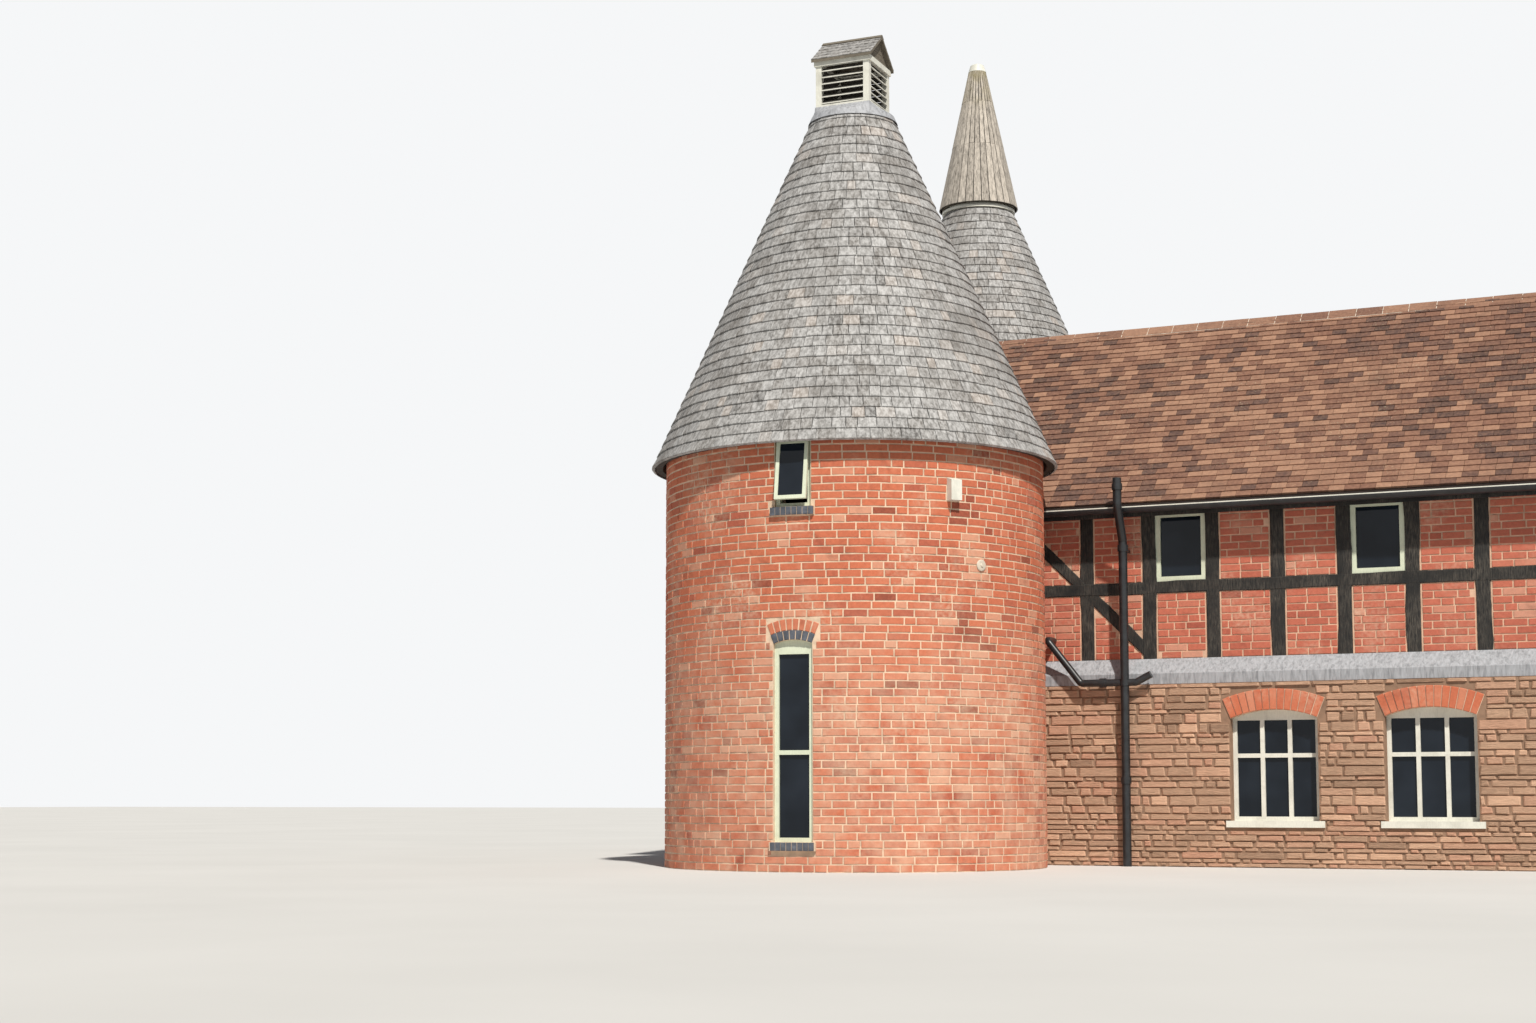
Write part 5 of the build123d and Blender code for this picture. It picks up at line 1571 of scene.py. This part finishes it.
def lay_tile(blocks, left, right, low, high, course, rng):
    """One tile, its tail lifted over the course below."""
    slack = rng.uniform(0.0008, 0.002)
    drop = rng.uniform(0, 0.006) if course else 0.0
    skew = rng.uniform(-0.003, 0.003)
    corners = (
        (left + slack, low - drop + skew * bool(course)), (right - slack, low - drop),
        (right - slack, high), (left + slack, high),
    )
    here = sag((left + right) / 2, low)
    lift = sizes().tile_thickness
    tail = [here + lift * 1.25 + rng.uniform(-0.0015, 0.0025) for _ in range(2)]
    face = (tail[0], tail[1], here + 0.004, here + 0.004)
    blocks.lay(corners, -0.002 if course else 0.0, face, tile_patches((left + right) / 2, low, rng))


RIDGE_THICKNESS = 0.022
RIDGE_LENGTHS = (0.29, 0.33)
RIDGE_JOINT = 0.004
RIDGE_TONES = (0.45, 0.6, 0.7, 0.85)
RIM_DEPTH = 0.007
RIM_BELOW, RIM_ABOVE = 0.006, 0.012  # the gutter's own top edge


def make_ridge():
    """Separate ridge tiles bedded on pale mortar, in place of the plain ridge."""
    rng = random.Random(75)
    low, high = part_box("ridge_tiles")
    half = (high.y - low.y) / 2
    section = []
    for step in range(9):
        t = -1 + step / 4
        rounding = 0.024 * max(0.0, 1 - abs(t) / 0.45) ** 2 * 0.6
        z = RIDGE_HEIGHT - abs(half * t) + RIDGE_THICKNESS * DIAGONAL - rounding
        section.append((half * t, z))
    inner = [(y, z - RIDGE_THICKNESS) for y, z in reversed(section)]
    vertices, faces, tints = [], [], []
    x = low.x
    while x < high.x - 0.02:
        end = min(x + rng.uniform(*RIDGE_LENGTHS), high.x)
        lift = rng.uniform(-0.003, 0.0)
        outline = [(y, z + lift) for y, z in section + inner]
        points, quads = bar(outline, x + RIDGE_JOINT, end - RIDGE_JOINT, len(vertices))
        vertices += points
        faces += quads
        tone = rng.choice(RIDGE_TONES) + rng.uniform(-0.08, 0.08)
        tints += [tone] * len(quads)
        x = end
    ridge = new_piece("ridge_course", vertices, faces, "ridge_clay", "ridge_clay", tint=tints)
    bed = [(y, z - 0.006) for y, z in section] + [(y * 1.02, z - 0.004) for y, z in inner]
    new_piece("ridge_bedding", *bar(bed, low.x + 0.002, high.x - 0.002), "render", "ridge_clay")
    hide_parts("ridge_tiles")


class OAST_OT_wing_roof(bpy.types.Operator):
    """Tile the wing's roof and lay its ridge"""

    bl_idname = "oast.wing_roof"
    bl_label = "Wing roof"

    def execute(self, context):
        dress("roof_underside", "front_roof_slope", "rear_roof_slope")
        for side in LONG_SIDES:
            make_slope_tiles(side)
        make_ridge()
        return {"FINISHED"}


class OAST_OT_leadwork(bpy.types.Operator):
    """Finish the lead ledges, apron and flashings and the mortar fillet"""

    bl_idname = "oast.leadwork"
    bl_label = "Leadwork"

    def execute(self, context):
        dress("lead", "lead_ledges", "lead_apron", "kiln_flashings")
        dress("render", "mortar_fillet")
        return {"FINISHED"}


def make_gutter_rims():
    """A pale strip along each gutter's outer rim."""
    low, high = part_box("gutters")
    for side in LONG_SIDES:
        rim = side.reach("gutters")
        holes = kiln_holes(side, rim, high.z, 0, FAR, 0.01)
        blocks = Blocks(side.place(rim - RIM_DEPTH), EDGE_CHAMFER)
        for left, right in cut_run(*stretch(low, high, side.right), high.z - 0.01, high.z, holes):
            bottom, top = high.z - RIM_BELOW, high.z + RIM_ABOVE
            blocks.lay_bar(left, right, bottom, top, -0.002, 0.006, 0.5)
        blocks.build(f"{side.name}_gutter_rim", "white_paint", "iron")


class OAST_OT_rainwater(bpy.types.Operator):
    """Finish the fascias, gutters and soil pipe"""

    bl_idname = "oast.rainwater"
    bl_label = "Rainwater goods"

    def execute(self, context):
        dress("black_timber", "eaves_fascias")
        dress("black_iron", "gutters")
        make_gutter_rims()
        dress("black_pipe", "soil_pipe")
        return {"FINISHED"}


# Floor, backdrop, sun and camera
FLOOR_HALF = 150.0
SKY_COLOUR = (0.80, 0.88, 1.0, 1)
SKY_STRENGTH = 0.17
BACKDROP_COLOUR = (0.92, 0.93, 0.94, 1)
SUN_ENERGY = 4.45
SUN_COLOUR = (1.0, 0.95, 0.87)
SUN_DIRECTION = Vector((-0.61, 0.79, -1.25))
CAMERA_PLACE = (5.957, -26.144, 0.727)
CAMERA_HEADING = (-0.42184, 0.90668)
CAMERA_PITCH = 5.27
LENS_MM = 51.83
PHOTO_WIDTH = 1536
HORIZON_SHIFT = 84.1                 # pixels from the photo's middle down to the lens axis


def make_floor():
    f = Finish("floor", roughness=0.9, specular=0.1)
    f.colour(f.ramp(f.noise(0.3, 3), [(0.3, (0.60, 0.60, 0.59)), (0.7, (0.64, 0.64, 0.63))]))
    mesh = bpy.data.meshes.new("floor")
    corners = [(x * FLOOR_HALF, y * FLOOR_HALF, 0) for x, y in ((-1, -1), (1, -1), (1, 1), (-1, 1))]
    mesh.from_pydata(corners, [], [(0, 1, 2, 3)])
    mesh.materials.append(f.material)
    add_object("floor", mesh)


def make_world():
    """A pale backdrop for camera and reflections; a dim blue sky lights everything else."""
    world = bpy.data.worlds.new("studio")
    world.use_nodes = True
    tree = world.node_tree
    link = tree.links.new
    light = tree.nodes["Background"]
    light.inputs["Color"].default_value = SKY_COLOUR
    light.inputs["Strength"].default_value = SKY_STRENGTH
    backdrop = tree.nodes.new("ShaderNodeBackground")
    backdrop.inputs["Color"].default_value = BACKDROP_COLOUR
    path = tree.nodes.new("ShaderNodeLightPath")
    direct = path.outputs["Is Camera Ray"]
    for ray in ("Is Glossy Ray", "Is Transmission Ray"):
        either = tree.nodes.new("ShaderNodeMath")
        either.operation = "MAXIMUM"
        link(direct, either.inputs[0])
        link(path.outputs[ray], either.inputs[1])
        direct = either.outputs[0]
    mix = tree.nodes.new("ShaderNodeMixShader")
    for socket, value in zip(mix.inputs, (direct, light.outputs[0], backdrop.outputs[0])):
        link(value, socket)
    link(mix.outputs[0], tree.nodes["World Output"].inputs["Surface"])
    bpy.context.scene.world = world


def make_sun():
    data = bpy.data.lights.new("sun", "SUN")
    data.energy = SUN_ENERGY
    data.color = SUN_COLOUR
    data.angle = math.radians(2)
    sun = add_object("sun", data)
    sun.rotation_euler = SUN_DIRECTION.to_track_quat("-Z", "Y").to_euler()


def make_camera():
    """The photo's own camera, with the horizon shifted up as the lens had it."""
    data = bpy.data.cameras.new("camera")
    data.sensor_width = 36.0
    data.lens = LENS_MM
    data.shift_y = HORIZON_SHIFT / PHOTO_WIDTH
    data.clip_end = 500.0
    camera = add_object("camera", data)
    camera.location = CAMERA_PLACE
    look = Vector((*CAMERA_HEADING, math.tan(math.radians(CAMERA_PITCH))))
    camera.rotation_euler = look.to_track_quat("-Z", "Y").to_euler()
    bpy.context.scene.camera = camera


class OAST_OT_stage(bpy.types.Operator):
    """Set the floor, backdrop, sun and camera"""

    bl_idname = "oast.stage"
    bl_label = "Stage"

    def execute(self, context):
        make_floor()
        make_world()
        make_sun()
        make_camera()
        context.scene.view_settings.view_transform = "Standard"
        return {"FINISHED"}


OPERATORS = (
    OAST_OT_kiln_walls, OAST_OT_kiln_windows, OAST_OT_kiln_roofs, OAST_OT_vent, OAST_OT_cowl,
    OAST_OT_stonework, OAST_OT_timber_storey, OAST_OT_wing_roof, OAST_OT_leadwork,
    OAST_OT_rainwater, OAST_OT_stage,
)


class OAST_PT_sidebar(bpy.types.Panel):
    """Every piece of the oast house, with the sizes and colours that it uses"""

    bl_label = "Oast House"
    bl_idname = "OAST_PT_sidebar"
    bl_space_type = "VIEW_3D"
    bl_region_type = "UI"
    bl_category = "Oast House"

    def draw(self, context):
        for operator in OPERATORS:
            self.layout.operator(operator.bl_idname)
        for group in (context.scene.oast_sizes, context.scene.oast_colours):
            for name in group.bl_rna.properties.keys():
                if name not in ("rna_type", "name"):
                    self.layout.prop(group, name)


CLASSES = (OastSizes, OastColours, *OPERATORS, OAST_PT_sidebar)


def register():
    for item in CLASSES:
        bpy.utils.register_class(item)
    bpy.types.Scene.oast_sizes = bpy.props.PointerProperty(type=OastSizes)
    bpy.types.Scene.oast_colours = bpy.props.PointerProperty(type=OastColours)


def unregister():
    del bpy.types.Scene.oast_colours
    del bpy.types.Scene.oast_sizes
    for item in reversed(CLASSES):
        bpy.utils.unregister_class(item)


def main():
    register()
    make_materials()
    for operator in OPERATORS:
        group, name = operator.bl_idname.split(".")
        getattr(getattr(bpy.ops, group), name)()


if __name__ == "__main__":
    main()
